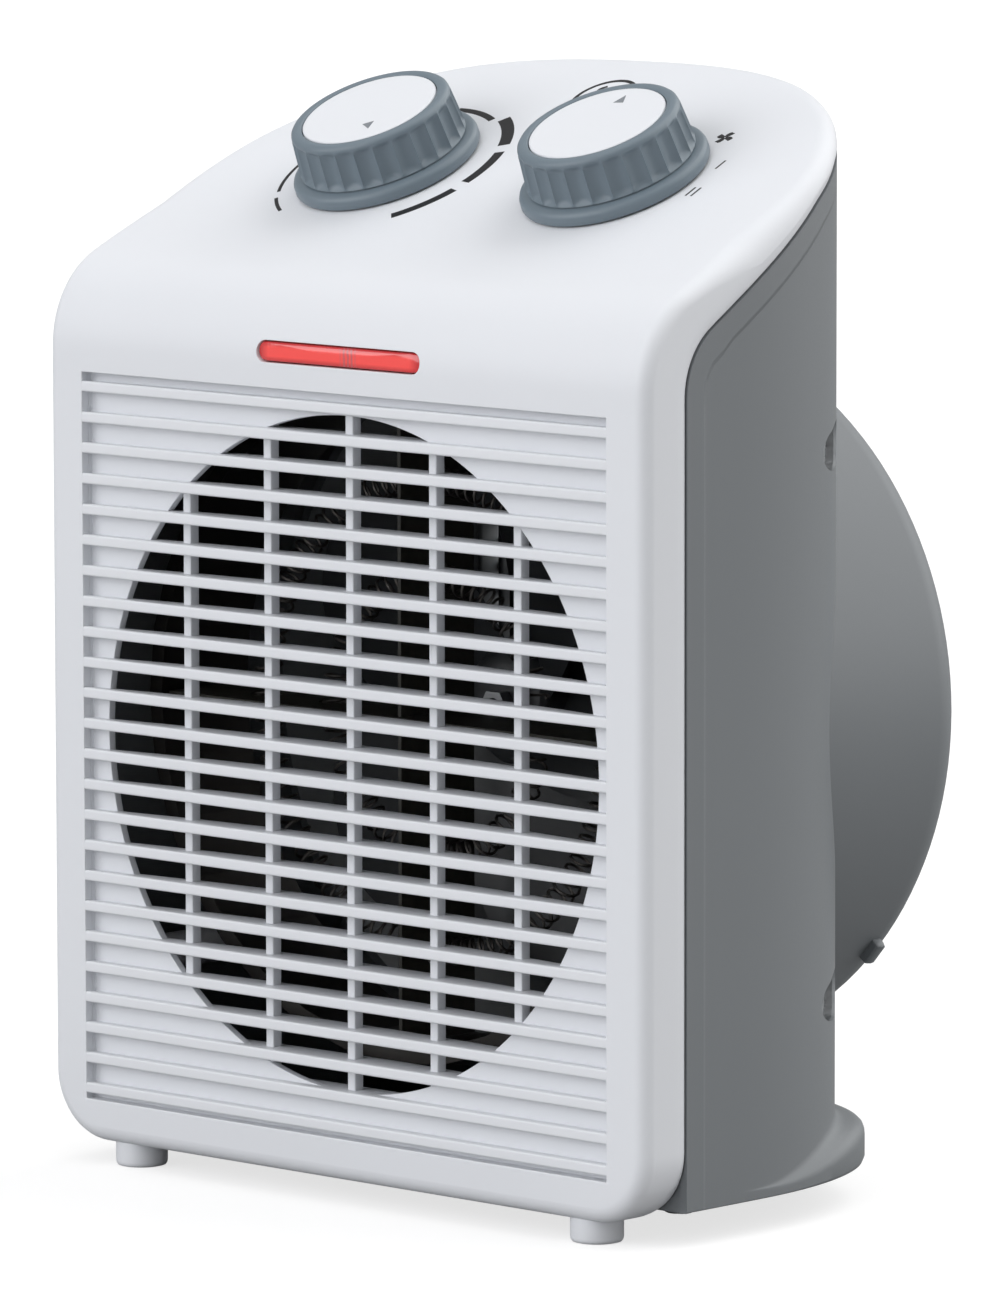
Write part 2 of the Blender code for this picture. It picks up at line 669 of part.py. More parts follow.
def make_base_plate():
    floor = BASE_BOTTOM_Z + BASE_FLOOR
    rings = [
        base_outline(BASE_ROUND, BASE_BOTTOM_Z),
        base_outline(BASE_ROUND * 0.3, BASE_BOTTOM_Z + BASE_ROUND * 0.3),
        base_outline(0, BASE_BOTTOM_Z + BASE_ROUND),
        base_outline(0, BASE_TOP_Z - BASE_ROUND),
        base_outline(BASE_ROUND * 0.3, BASE_TOP_Z - BASE_ROUND * 0.3),
        base_outline(BASE_ROUND * 1.6, BASE_TOP_Z),
        base_outline(BASE_ROUND * 1.6, floor),
    ]
    plate = add("base_plate", tube_of_rings(rings), GREY)
    pads = []
    holes = []
    for x, depth in BASE_SCREWS:
        for side in (-1, 1):
            place = (side * x, at_y(depth))
            pads.append(rod(4.5 * MM, floor - 0.5 * MM, BASE_TOP_Z, "Z", place, 12))
            holes.append(rod(1.8 * MM, 0, 60 * MM, "Z", place, 10))
    combine(plate, joined(pads), "UNION")
    for side in (-1, 1):
        place = (side * REAR_FOOT_X, at_y(REAR_FOOT_Y))
        holes.append(rod(FOOT_STEM_RADIUS + GAP, 0, 60 * MM, "Z", place, 16))
    deep = (at_y(BASE_BACK_Y - 20 * MM), at_y(BASE_BACK_Y + 5 * MM))
    holes.append(rod(GLAND_HOLE_RADIUS, *deep, "Y", (GLAND_X, GLAND_Z), 20))
    combine(plate, joined(holes), "DIFFERENCE")


def make_drum():
    """The fan drum with the air intake in its back, closed by slots between three spokes."""
    centre = (DRUM_RADIUS - DRUM_ROUND, at_y(DRUM_BACK_Y) - DRUM_ROUND)
    profile = [(0, at_y(DRUM_BACK_Y))]
    profile += arc(centre, DRUM_ROUND, 90, 0, 4)
    profile += [(DRUM_RADIUS, at_y(DRUM_FRONT_Y)), (DRUM_RADIUS - DRUM_WALL, at_y(DRUM_FRONT_Y))]
    profile += arc(centre, DRUM_ROUND - DRUM_WALL, 0, 90, 2)
    profile += [(0, at_y(DRUM_BACK_Y - DRUM_WALL))]
    mesh = turned(profile, DRUM_SIDES, "Y", (0, DRUM_Z))
    drum = add("rear_grille", mesh, GREY)
    slots = []
    for i in range(SLOT_COUNT):
        z = (i - (SLOT_COUNT - 1) / 2) * SLOT_PITCH
        if abs(z) > INTAKE_RADIUS - SLOT_HEIGHT:
            continue
        chord = math.sqrt(INTAKE_RADIUS**2 - z**2)
        ends = [-chord, -INTAKE_RADIUS / 2, 0, INTAKE_RADIUS / 2, chord]
        for left, right in zip(ends, ends[1:]):
            across = (left + SPOKE_WIDTH / 2, right - SPOKE_WIDTH / 2)
            if across[1] - across[0] < 6 * MM or across[0] * across[1] < 0:
                continue
            deep = (at_y(DRUM_BACK_Y - 8 * MM), at_y(DRUM_BACK_Y + 5 * MM))
            low = DRUM_Z + z - SLOT_HEIGHT / 2
            slots.append(box(across, deep, (low, low + SLOT_HEIGHT)))
    combine(drum, joined(slots), "DIFFERENCE")
    inside = at_y(DRUM_BACK_Y - DRUM_WALL)
    disc = rod(30 * MM, inside - 0.1 * MM, at_y(DRUM_BACK_Y) - 0.1 * MM, "Y", (0, FAN_Z), 24)
    combine(drum, disc, "UNION")
    bosses = []
    for x in both_sides(MOTOR_SCREW_X):
        bosses.append(rod(4.5 * MM, at_y(MOTOR_BACK_Y) + GAP, inside + 0.5 * MM, "Y", (x, FAN_Z), 16))
    combine(drum, joined(bosses), "UNION")
    deep = (at_y(MOTOR_BACK_Y) - MM, at_y(114 * MM))
    holes = [rod(1.8 * MM, *deep, "Y", (x, FAN_Z), 10) for x in both_sides(MOTOR_SCREW_X)]
    combine(drum, joined(holes), "DIFFERENCE")
    latch_y = (at_y(LATCH_DEPTHS[0]), at_y(LATCH_DEPTHS[1]))
    slot = box((DRUM_RADIUS - 6 * MM, DRUM_RADIUS + 6 * MM), latch_y, (-3.3 * MM, 3.3 * MM))
    slot.transform(latch_place())
    combine(drum, slot, "DIFFERENCE")
    reach = (DRUM_RADIUS - 5 * MM, DRUM_RADIUS + 2.4 * MM)
    tab = box(reach, (latch_y[0] + GAP, latch_y[1] - GAP), (-3 * MM, 3 * MM))
    tab.transform(latch_place())
    add("grille_latch", tab, GREY)


def latch_place():
    return Matrix.Translation((0, 0, DRUM_Z)) @ Matrix.Rotation(LATCH_ANGLE, 4, "Y")


def make_gland():
    """The bush that the mains lead comes through."""
    back = at_y(BASE_BACK_Y)
    profile = [
        (2.8 * MM, back + 2.6 * MM),
        (4.4 * MM, back + 2.6 * MM),
        (5 * MM, back + 0.8 * MM),
        (5 * MM, back + GAP),
        (4 * MM, back + GAP),
        (4 * MM, back - 6 * MM),
        (2.8 * MM, back - 6 * MM),
    ]
    add("cord_gland", turned(profile, 20, "Y", (GLAND_X, GLAND_Z)), RUBBER)


def make_feet():
    for name, side in (("left", -1), ("right", 1)):
        top = COVER_BOTTOM_Z - GAP
        profile = [
            (0, 0),
            (FOOT_RADIUS - 0.8 * MM, 0),
            (FOOT_RADIUS, 0.8 * MM),
            (FOOT_RADIUS, top),
            (FOOT_STEM_RADIUS, top),
            (FOOT_STEM_RADIUS, top + 4.5 * MM),
            (0, top + 4.5 * MM),
        ]
        place = (side * FOOT_X, at_y(FOOT_Y))
        add(f"front_foot_{name}", turned(profile, 16, "Z", place), WHITE)
        top = BASE_BOTTOM_Z - GAP
        profile[3:] = [
            (FOOT_RADIUS, top),
            (FOOT_STEM_RADIUS, top),
            (FOOT_STEM_RADIUS, top + 5 * MM),
            (0, top + 5 * MM),
        ]
        place = (side * REAR_FOOT_X, at_y(REAR_FOOT_Y))
        add(f"rear_foot_{name}", turned(profile, 16, "Z", place), RUBBER)


# ---------------------------------------------------------------- controls


def knob_mesh():
    """A hollow knob with a skirt, a ribbed grip, a seat for its cap and a socket for the shaft."""
    top = KNOB_HEIGHT
    seat = top - CAP_THICKNESS - GAP / 2
    plain, ribbed = 0, RIB_RISE
    profile = [
        (CAP_RADIUS + GAP, seat, plain),
        (CAP_RADIUS + GAP, top - 0.1 * MM, plain),
        (GRIP_RADIUS - 1.3 * MM, top - 0.1 * MM, plain),
        (GRIP_RADIUS - 0.5 * MM, top - 0.9 * MM, plain),
        (GRIP_RADIUS, top - 1.6 * MM, ribbed),
        (GRIP_RADIUS + 0.5 * MM, 4.6 * MM, ribbed),
        (GRIP_RADIUS + 0.6 * MM, 3.6 * MM, plain),
        (SKIRT_RADIUS, 2.6 * MM, plain),
        (SKIRT_RADIUS, KNOB_LIFT, plain),
        (SKIRT_RADIUS - 1.6 * MM, KNOB_LIFT, plain),
        (GRIP_RADIUS - 1.8 * MM, 3 * MM, plain),
        (GRIP_RADIUS - 2.4 * MM, seat - 2 * MM, plain),
        (SHAFT_RADIUS + 3.4 * MM, seat - 2 * MM, plain),
        (SHAFT_RADIUS + 3.4 * MM, NUT_HEIGHT + 2 * MM, plain),
        (SHAFT_RADIUS + GAP, NUT_HEIGHT + 2 * MM, plain),
        (SHAFT_RADIUS + GAP, seat - 1.7 * MM, plain),
    ]
    rings = []
    for radius, height, rise in profile:
        ring = []
        for i in range(2 * KNOB_RIBS):
            turn = math.pi * i / KNOB_RIBS
            reach = radius + (rise if i % 2 else 0)
            ring.append((reach * math.cos(turn), reach * math.sin(turn), height))
        rings.append(ring)
    return tube_of_rings(rings)


def make_control(name, switch_name, x, size):
    """A knob on its shaft, and the switch under the panel that the shaft works. The switch is held by
    a nut on its bush, inside the knob's skirt."""
    fixed = pivot(switch_name + "_frame", panel_point(x), PANEL_TILT)
    axis = pivot(name + "_axis", panel_point(x), PANEL_TILT)
    seat = -WALL - GAP
    length, width, depth = size
    block = box((-length / 2, length / 2), (-width / 2, width / 2), (seat - depth, seat))
    body = add(switch_name, block, PHENOLIC, fixed)
    combine(body, rod(BUSH_RADIUS, seat - MM, NUT_HEIGHT + MM, "Z", sides=20), "UNION")
    combine(body, rod(SHAFT_RADIUS + GAP, seat - depth - MM, 9 * MM, "Z", sides=20), "DIFFERENCE")
    nut = add(name + "_nut", prism(circle(NUT_RADIUS, 6), GAP, GAP + NUT_HEIGHT), STEEL, fixed)
    combine(nut, rod(BUSH_RADIUS + GAP, -MM, 9 * MM, "Z", sides=20), "DIFFERENCE")
    shaft_top = KNOB_HEIGHT - CAP_THICKNESS - 2.2 * MM
    add(name + "_shaft", rod(SHAFT_RADIUS, seat - depth - MM, shaft_top, "Z", sides=20), STEEL, axis)
    add(name + "_knob", knob_mesh(), KNOB_GREY, axis)
    low = KNOB_HEIGHT - CAP_THICKNESS
    profile = [
        (0, low),
        (CAP_RADIUS, low),
        (CAP_RADIUS, KNOB_HEIGHT - 0.3 * MM),
        (CAP_RADIUS - 0.5 * MM, KNOB_HEIGHT),
        (0, KNOB_HEIGHT),
    ]
    add(name + "_cap", turned(profile, 32), WHITE, axis)
    return fixed


def make_controls():
    frame = make_control("thermostat", "thermostat_body", -KNOB_X, THERMOSTAT_SIZE)
    low = -WALL - GAP - THERMOSTAT_SIZE[2]
    strip = box((-15 * MM, 15 * MM), (-4 * MM, 4 * MM), (low - 4 * MM, low - 3 * MM))
    bimetal = add("thermostat_bimetal", strip, BRONZE, frame)
    combine(bimetal, box((-15 * MM, -11 * MM), (-4 * MM, 4 * MM), (low - 3.5 * MM, low - GAP)), "UNION")
    make_control("selector", "selector_switch", KNOB_X, SELECTOR_SIZE)


# ---------------------------------------------------------------- heating element


def make_element():
    ring = [
        (ELEMENT_RING_RADIUS + 3 * MM, at_y(ELEMENT_FRONT_Y)),
        (ELEMENT_RING_RADIUS + 3 * MM, at_y(ELEMENT_FRONT_Y) + ELEMENT_RING_WALL),
        (ELEMENT_RING_RADIUS, at_y(ELEMENT_FRONT_Y) + ELEMENT_RING_WALL),
        (ELEMENT_RING_RADIUS, at_y(ELEMENT_BACK_Y)),
        (ELEMENT_RING_RADIUS - ELEMENT_RING_WALL, at_y(ELEMENT_BACK_Y)),
        (ELEMENT_RING_RADIUS - ELEMENT_RING_WALL, at_y(ELEMENT_FRONT_Y)),
    ]
    add("element_ring", turned(ring, ROUND, "Y", (0, FAN_Z)), STEEL)
    reach = ELEMENT_RING_RADIUS - ELEMENT_RING_WALL - 2 * GAP
    deep = (at_y(ELEMENT_FRONT_Y + 2 * MM), at_y(ELEMENT_BACK_Y - 2 * MM))
    half = MICA_THICKNESS / 2
    slit = half + GAP
    middle = at_y(COIL_Y)
    level = add("mica_board_level", box((-reach, reach), deep, (FAN_Z - half, FAN_Z + half)), MICA)
    notch = box((-slit, slit), (middle - GAP / 2, deep[1] + MM), (FAN_Z - MM, FAN_Z + MM))
    combine(level, notch, "DIFFERENCE")
    upright = add("mica_board_upright", box((-half, half), deep, (FAN_Z - reach, FAN_Z + reach)), MICA)
    notch = box((-MM, MM), (deep[0] - MM, middle + GAP / 2), (FAN_Z - slit, FAN_Z + slit))
    combine(upright, notch, "DIFFERENCE")
    hole = COIL_TUBE_RADIUS + 2 * GAP
    holes = [rod(hole, FAN_Z - MM, FAN_Z + MM, "Z", (-radius, middle), 12) for radius in COIL_RADII]
    combine(level, joined(holes), "DIFFERENCE")
    holes = []
    for radius in COIL_RADII:
        for side in (-1, 1):
            holes.append(rod(hole, -MM, MM, "X", (middle, FAN_Z + side * radius), 12))
    combine(upright, joined(holes), "DIFFERENCE")
    for name, radius in zip(("inner", "outer"), COIL_RADII):
        start = (COIL_TUBE_RADIUS + 3 * MM) / radius
        path = []
        for i in range(25):
            turn = start + (2 * math.pi - 2 * start) * i / 24
            path.append(Vector((radius * math.cos(turn), middle, FAN_Z + radius * math.sin(turn))))
        add(f"heating_coil_{name}", swept(path, COIL_TUBE_RADIUS, 6), NICHROME)
    edge = reach - 8 * MM
    can = rod(6.5 * MM, FAN_Z + half + GAP, FAN_Z + half + 6 * MM, "Z", (edge, middle), 20)
    add("thermal_cutout", can, STEEL)
    fuse = rod(2 * MM, deep[0] + 3 * MM, deep[1] - 3 * MM, "Y", (edge, FAN_Z - half - 2.4 * MM), 10)
    add("thermal_fuse", fuse, NICHROME)


# ---------------------------------------------------------------- fan and motor


def blade(turn):
    """One fan blade: a thin twisted plate, steeper at the hub than at the tip."""
    rows, columns = 4, 4
    thickness = 1.4 * MM
    front, back = [], []
    for i in range(rows + 1):
        share = i / rows
        radius = HUB_RADIUS - 2 * MM + (FAN_RADIUS - HUB_RADIUS + 2 * MM) * share
        pitch = math.radians(42 - 18 * share)
        chord = (26 + 36 * math.sin(math.pi * (0.15 + 0.5 * share))) * MM
        chord *= 1 - 0.35 * max(share - 0.8, 0) / 0.2
        for j in range(columns + 1):
            along = (j / columns - 0.5) * chord
            swing = turn + along * math.cos(pitch) / radius + 0.25 * share
            depth = at_y(FAN_Y) + along * math.sin(pitch) * BLADE_FLATTENING
            place = (radius * math.cos(swing), FAN_Z + radius * math.sin(swing))
            front.append((place[0], depth - thickness / 2, place[1]))
            back.append((place[0], depth + thickness / 2, place[1]))
    points = front + back
    size = len(front)
    wide = columns + 1
    faces = []
    for i in range(rows):
        for j in range(columns):
            a = i * wide + j
            faces.append((a, a + 1, a + wide + 1, a + wide))
            faces.append((a + size, a + wide + size, a + wide + 1 + size, a + 1 + size))
    edge = [j for j in range(wide)]
    edge += [i * wide + columns for i in range(1, rows + 1)]
    edge += [rows * wide + j for j in range(columns - 1, -1, -1)]
    edge += [i * wide for i in range(rows - 1, 0, -1)]
    for a, b in zip(edge, edge[1:] + edge[:1]):
        faces.append((a, b, b + size, a + size))
    return mesh_of(points, faces)


def moved(mesh, empty):
    """The mesh in an empty's own space, for a piece that has the empty as its parent."""
    mesh.transform(Matrix.Translation(-empty.location))
    return mesh


def make_fan():
    axis = pivot("fan_axis", (0, at_y(FAN_Y), FAN_Z))
    half = HUB_LENGTH / 2
    hub = [
        (0, at_y(FAN_Y) - half),
        (HUB_RADIUS * 0.6, at_y(FAN_Y) - half),
        (HUB_RADIUS, at_y(FAN_Y) - half + 4 * MM),
        (HUB_RADIUS, at_y(FAN_Y) + half),
        (0, at_y(FAN_Y) + half),
    ]
    fan = add("fan_impeller", moved(turned(hub, ROUND, "Y", (0, FAN_Z)), axis), FAN_GREY, axis)
    for i in range(BLADE_COUNT):
        turn = 2 * math.pi * i / BLADE_COUNT
        combine(fan, helper(moved(blade(turn), axis), axis), "UNION")
    combine(fan, helper(shaft_bore(axis), axis), "DIFFERENCE")
    shaft = rod(MOTOR_SHAFT_RADIUS, at_y(SHAFT_FRONT_Y), at_y(SHAFT_BACK_Y), "Y", (0, FAN_Z), 16)
    add("motor_shaft", moved(shaft, axis), STEEL, axis)
    nut_back = at_y(FAN_Y) - half - GAP
    nut = prism(circle(4.2 * MM, 6, (0, FAN_Z)), nut_back - 3 * MM, nut_back, "Y")
    nut = add("fan_nut", moved(nut, axis), STEEL, axis)
    combine(nut, helper(shaft_bore(axis), axis), "DIFFERENCE")
    low, high = at_y(STATOR_FRONT_Y + MM), at_y(STATOR_FRONT_Y + STATOR_THICKNESS - MM)
    rotor = rod(ROTOR_RADIUS, low, high, "Y", (0, FAN_Z), 24)
    rotor = add("motor_rotor", moved(rotor, axis), LAMINATION, axis)
    combine(rotor, helper(shaft_bore(axis), axis), "DIFFERENCE")


def shaft_bore(axis):
    """The hole for the motor shaft, in the fan's own space."""
    low, high = at_y(SHAFT_FRONT_Y - MM), at_y(SHAFT_BACK_Y + MM)
    hole = rod(MOTOR_SHAFT_RADIUS + GAP, low, high, "Y", (0, FAN_Z), 16)
    return moved(hole, axis)


def make_motor():
    front = at_y(STATOR_FRONT_Y)
    back = front + STATOR_THICKNESS
    half = STATOR_HALF_WIDTH
    limb = 9 * MM
    foot = FAN_Z - half - 20 * MM
    stator = add("motor_stator", box((-half, half), (front, back), (foot, FAN_Z + half)), LAMINATION)
    combine(stator, rod(ROTOR_RADIUS + AIR_GAP, front - MM, back + MM, "Y", (0, FAN_Z), 24), "DIFFERENCE")
    window = (foot + limb, foot + limb + 13 * MM)
    combine(stator, box((-17 * MM, 17 * MM), (front - MM, back + MM), window), "DIFFERENCE")
    holes = [rod(1.8 * MM, front - MM, back + MM, "Y", (x, FAN_Z), 10) for x in both_sides(MOTOR_SCREW_X)]
    combine(stator, joined(holes), "DIFFERENCE")
    coil = box((-15 * MM, 15 * MM), (front - 6 * MM, back + 6 * MM), (foot - 7 * MM, foot + limb + 7 * MM))
    coil = add("motor_winding", coil, COPPER)
    bend = coil.modifiers.new("round", "BEVEL")
    bend.width = 2 * MM
    bend.segments = 2
    core = box((-16 * MM, 16 * MM), (front - GAP, back + GAP), (foot - GAP, foot + limb + GAP))
    combine(coil, core, "DIFFERENCE")
    ends = (("front", at_y(BRACKET_FRONT_Y), front - GAP), ("rear", at_y(MOTOR_BACK_Y), back + GAP))
    for name, face, stop in ends:
        inner = face + BRACKET_THICKNESS if name == "front" else face - BRACKET_THICKNESS
        low, high = sorted((face, inner))
        plate = box((-half, half), (low, high), (FAN_Z - 7 * MM, FAN_Z + 7 * MM))
        bracket = add(f"motor_bracket_{name}", plate, STEEL)
        low, high = sorted((stop, (face + inner) / 2))
        pillars = [rod(4 * MM, low, high, "Y", (x, FAN_Z), 16) for x in both_sides(MOTOR_SCREW_X)]
        combine(bracket, joined(pillars), "UNION")
        cuts = [rod(BEARING_RADIUS + GAP, face - 5 * MM, face + 5 * MM, "Y", (0, FAN_Z), 20)]
        low, high = sorted((stop, face))
        for x in both_sides(MOTOR_SCREW_X):
            cuts.append(rod(1.8 * MM, low - MM, high + MM, "Y", (x, FAN_Z), 10))
        combine(bracket, joined(cuts), "DIFFERENCE")
        middle = (face + inner) / 2
        ring = [(MOTOR_SHAFT_RADIUS + 0.1 * MM, middle - 3 * MM), (BEARING_RADIUS, middle - 3 * MM)]
        ring += [(BEARING_RADIUS, middle + 3 * MM), (MOTOR_SHAFT_RADIUS + 0.1 * MM, middle + 3 * MM)]
        add(f"motor_bearing_{name}", turned(ring, 20, "Y", (0, FAN_Z)), BRONZE)


# ---------------------------------------------------------------- screws and wiring


def make_screws():
    names = iter(range(1, 5))
    shape = screw(15 * MM)
    for z in POCKET_Z:
        for x in both_sides(POCKET_X):
            piece = add(f"housing_screw_{next(names)}", shape.copy(), STEEL)
            piece.location = (x, at_y(POCKET_FLOOR_Y) + GAP, z)
    names = iter(range(1, 5))
    shape = screw(18 * MM)
    for x, depth in BASE_SCREWS:
        for side in (-1, 1):
            piece = add(f"base_screw_{next(names)}", shape.copy(), STEEL)
            piece.location = (side * x, at_y(depth), BASE_BOTTOM_Z - GAP)
            piece.rotation_euler = (math.radians(-90), 0, 0)
    for name, x in (("left", -MOTOR_SCREW_X), ("right", MOTOR_SCREW_X)):
        piece = add(f"motor_screw_{name}", screw(34 * MM), STEEL)
        piece.location = (x, at_y(BRACKET_FRONT_Y) - GAP, FAN_Z)
        piece.rotation_euler = (0, 0, math.pi)


def make_wiring():
    """The terminal block and the leads, which pass between the posts and the fan."""
    floor = BASE_BOTTOM_Z + BASE_FLOOR + GAP
    block = box((-52 * MM, -24 * MM), (at_y(60 * MM), at_y(72 * MM)), (floor, floor + 10 * MM))
    add("terminal_block", block, DARK_PLASTIC)
    radius = 1.2 * MM
    level = panel_z(PANEL_AT_Y) - 9 * MM
    along = at_y(PANEL_AT_Y + 4.4 * MM)
    behind = at_y(50 * MM)
    past_post = POCKET_X - POST_RADIUS - 2 * radius - MM
    past_fan = ELEMENT_RING_RADIUS + 4.5 * MM
    supply = [
        (-38 * MM, at_y(66 * MM), floor + 12 * MM),
        (-56 * MM, at_y(60 * MM), floor + 18 * MM),
        (-past_post, behind, POCKET_Z[0]),
        (-past_fan, behind, FAN_Z - 24 * MM),
        (-past_fan, behind, FAN_Z + 24 * MM),
        (-past_post, behind, POCKET_Z[1]),
        (-74 * MM, at_y(48 * MM), 208 * MM),
        (-KNOB_X - THERMOSTAT_SIZE[0] / 2 - 2 * radius, along, level),
    ]
    add("supply_wire", wire(supply, radius), WIRE_SLEEVE)
    left = -KNOB_X + THERMOSTAT_SIZE[0] / 2 + 2 * radius
    right = KNOB_X - SELECTOR_SIZE[0] / 2 - 2 * radius
    link = [(left, along, level), (0, along, level - 6 * MM), (right, along, level)]
    add("control_wire", wire(link, radius), WIRE_SLEEVE)
    heater = [
        (KNOB_X + SELECTOR_SIZE[0] / 2 + 2 * radius, along, level),
        (76 * MM, at_y(50 * MM), 206 * MM),
        (past_post, behind, POCKET_Z[1]),
        (past_fan, behind, FAN_Z + 30 * MM),
        (ELEMENT_RING_RADIUS + 3 * radius, at_y(COIL_Y + 6 * MM), FAN_Z + 4 * MM),
    ]
    add("element_wire", wire(heater, radius), WIRE_SLEEVE)


make_front_cover()
make_indicator()
make_rear_housing()
make_base_plate()
make_drum()
make_gland()
make_feet()
make_controls()
make_element()
make_fan()
make_motor()
make_screws()
make_wiring()
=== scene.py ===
"""Upright fan convector heater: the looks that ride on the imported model.

Metres, +Z up. The front faces -Y. "Depth" is measured back from the plane of the front panel.
"""

import math

import bmesh
import bpy
import numpy as np
from mathutils import Matrix, Vector


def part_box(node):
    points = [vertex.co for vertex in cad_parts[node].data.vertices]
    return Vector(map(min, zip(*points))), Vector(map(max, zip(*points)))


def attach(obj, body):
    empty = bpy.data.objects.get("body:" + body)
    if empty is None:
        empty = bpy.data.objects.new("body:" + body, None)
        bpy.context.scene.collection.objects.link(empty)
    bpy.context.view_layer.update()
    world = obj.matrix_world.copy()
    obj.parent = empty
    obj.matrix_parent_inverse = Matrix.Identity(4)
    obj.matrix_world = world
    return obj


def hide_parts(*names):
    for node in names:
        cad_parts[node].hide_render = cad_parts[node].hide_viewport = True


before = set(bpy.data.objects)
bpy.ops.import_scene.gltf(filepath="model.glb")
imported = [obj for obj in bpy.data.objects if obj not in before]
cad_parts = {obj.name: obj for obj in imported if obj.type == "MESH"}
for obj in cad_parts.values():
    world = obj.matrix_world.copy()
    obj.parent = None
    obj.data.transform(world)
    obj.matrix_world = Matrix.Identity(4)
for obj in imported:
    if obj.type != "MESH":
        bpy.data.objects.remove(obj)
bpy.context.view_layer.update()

MM = 0.001
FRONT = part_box("front_cover")[0].y

# ---------------------------------------------------------------- studio
# A pale sweep of floor in an even white room, with three large softboxes: in front, behind and above.
# The camera stands well back, low and to the right, and looks slightly down on the heater.


def linear(code):
    """sRGB hex to linear red, green and blue."""
    values = (int(code[i : i + 2], 16) / 255 for i in (1, 3, 5))
    return [((c + 0.055) / 1.055) ** 2.4 if c > 0.04045 else c / 12.92 for c in values]


def node(tree, kind, links=(), **settings):
    """Adds one shader node. A setting names one of its properties, or one of its inputs with _ for a
    space; links are (input name, node, output name)."""
    made = tree.nodes.new(kind)
    for name, value in settings.items():
        if hasattr(made, name):
            setattr(made, name, value)
        else:
            made.inputs[name.replace("_", " ")].default_value = value
    for target, source, output in links:
        tree.links.new(source.outputs[output], made.inputs[target])
    return made


CAMERA_DISTANCE = 2.1911
LOOKED_AT = Vector((-0.00491, -0.00164, 0.12159))
azimuth, elevation, roll = (math.radians(v) for v in (43.341, 6.944, -0.105))

camera_data = bpy.data.cameras.new("camera")
camera_data.lens = 265.1
camera_data.sensor_width = 36
camera_data.clip_end = 20
camera = bpy.data.objects.new("camera", camera_data)
bpy.context.scene.collection.objects.link(camera)
backwards = Vector(
    (
        math.sin(azimuth) * math.cos(elevation),
        -math.cos(azimuth) * math.cos(elevation),
        math.sin(elevation),
    )
)
camera.location = LOOKED_AT + backwards * CAMERA_DISTANCE
camera.rotation_euler = (
    backwards.to_track_quat("Z", "Y").to_matrix() @ Matrix.Rotation(roll, 3, "Z")
).to_euler()
bpy.context.scene.camera = camera
bpy.context.scene.view_settings.view_transform = "Standard"


def distant(name, way, spread, colour="#FFFFFF"):
    """A large far softbox, spread degrees across. way points at it, and its length is the light that it
    gives, as a share of what a white room would."""
    light = bpy.data.lights.new(name, "SUN")
    light.energy = math.pi * Vector(way).length
    light.angle = math.radians(spread)
    light.color = linear(colour)
    lamp = bpy.data.objects.new(name, light)
    bpy.context.scene.collection.objects.link(lamp)
    lamp.location = Vector(way) * 2
    lamp.rotation_euler = Vector(way).to_track_quat("Z", "Y").to_euler()


distant("front_softbox", (-0.20, -0.73, 0.12), 70, "#FBFCFF")
distant("rear_softbox", (0.27, 0.52, 0.42), 80)
distant("top_softbox", (0.02, -0.05, 0.30), 80)

world = bpy.data.worlds.new("room")
world.use_nodes = True
room_light = world.node_tree.nodes["Background"]
room_light.inputs["Color"].default_value = (1, 1, 1, 1)
room_light.inputs["Strength"].default_value = 0.36
bpy.context.scene.world = world

# The paper is lit by its own lamps and burns out to white, so to the camera it glows. What it throws
# back on the heater is much less.
REACH = 6
floor_mesh = bpy.data.meshes.new("floor")
floor_mesh.from_pydata(
    [(-REACH, -REACH, 0), (REACH, -REACH, 0), (REACH, REACH, 0), (-REACH, REACH, 0)], [], [(0, 1, 2, 3)]
)
floor = bpy.data.objects.new("floor", floor_mesh)
bpy.context.scene.collection.objects.link(floor)
paper = bpy.data.materials.new("paper_sweep")
paper.use_nodes = True
paper_shader = paper.node_tree.nodes["Principled BSDF"]
paper_shader.inputs["Base Color"].default_value = (0.34, 0.34, 0.34, 1)
paper_shader.inputs["Roughness"].default_value = 1
paper_shader.inputs["Specular IOR Level"].default_value = 0
paper_shader.inputs["Emission Color"].default_value = (1, 1, 1, 1)
seen = node(paper.node_tree, "ShaderNodeLightPath")
glow = node(paper.node_tree, "ShaderNodeMath", [(0, seen, "Is Camera Ray")], operation="MULTIPLY")
glow.inputs[1].default_value = 0.72
paper.node_tree.links.new(glow.outputs["Value"], paper_shader.inputs["Emission Strength"])
floor_mesh.materials.append(paper)

# ---------------------------------------------------------------- front cover, outer shell
# One white polypropylene moulding: the flat front, the brow, the sloping control panel and a rim that
# wraps round the edge to a seam. It is held by four screws from the back.

HALF_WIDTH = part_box("front_cover")[1].x
COVER_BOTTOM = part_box("front_cover")[0].z
WALL = 2.2 * MM
CORNER = 16 * MM
EDGE = 3.5 * MM
RIM = 13.6 * MM
TILT = math.radians(26)
PANEL_AT = (53.9 * MM, 231.3 * MM)  # the depth and height of the knobs' feet
BROW = 24 * MM  # the radius between the front and the control panel
SEAM_RADIUS = 18 * MM
SEAM_SLOPE = math.radians(32.2)
SEAM_CORNER = 198.2 * MM
SEAM_START = SEAM_CORNER - SEAM_RADIUS * math.tan((math.pi / 2 - SEAM_SLOPE) / 2)
STRAIGHT, BACK, POWER = 29 * MM, 106.5 * MM, 2.5  # the plan: where its round back starts and ends
PANEL_EDGE = 4 * MM  # the edge is rounded this much more beside the control panel
PANEL_EDGE_START, PANEL_EDGE_GROWS = 12 * MM, 34 * MM
LEAD_END = 72 * MM  # behind this depth the rim's points fall straight below the sheet's
ROLL_START, PANEL_ROLL = 94 * MM, 0.75 * MM  # the panel's back edge rolls off
LIP, LIP_DRAW = 3 * MM, 0.5 * MM  # the rim's last stretch turns in towards the seam
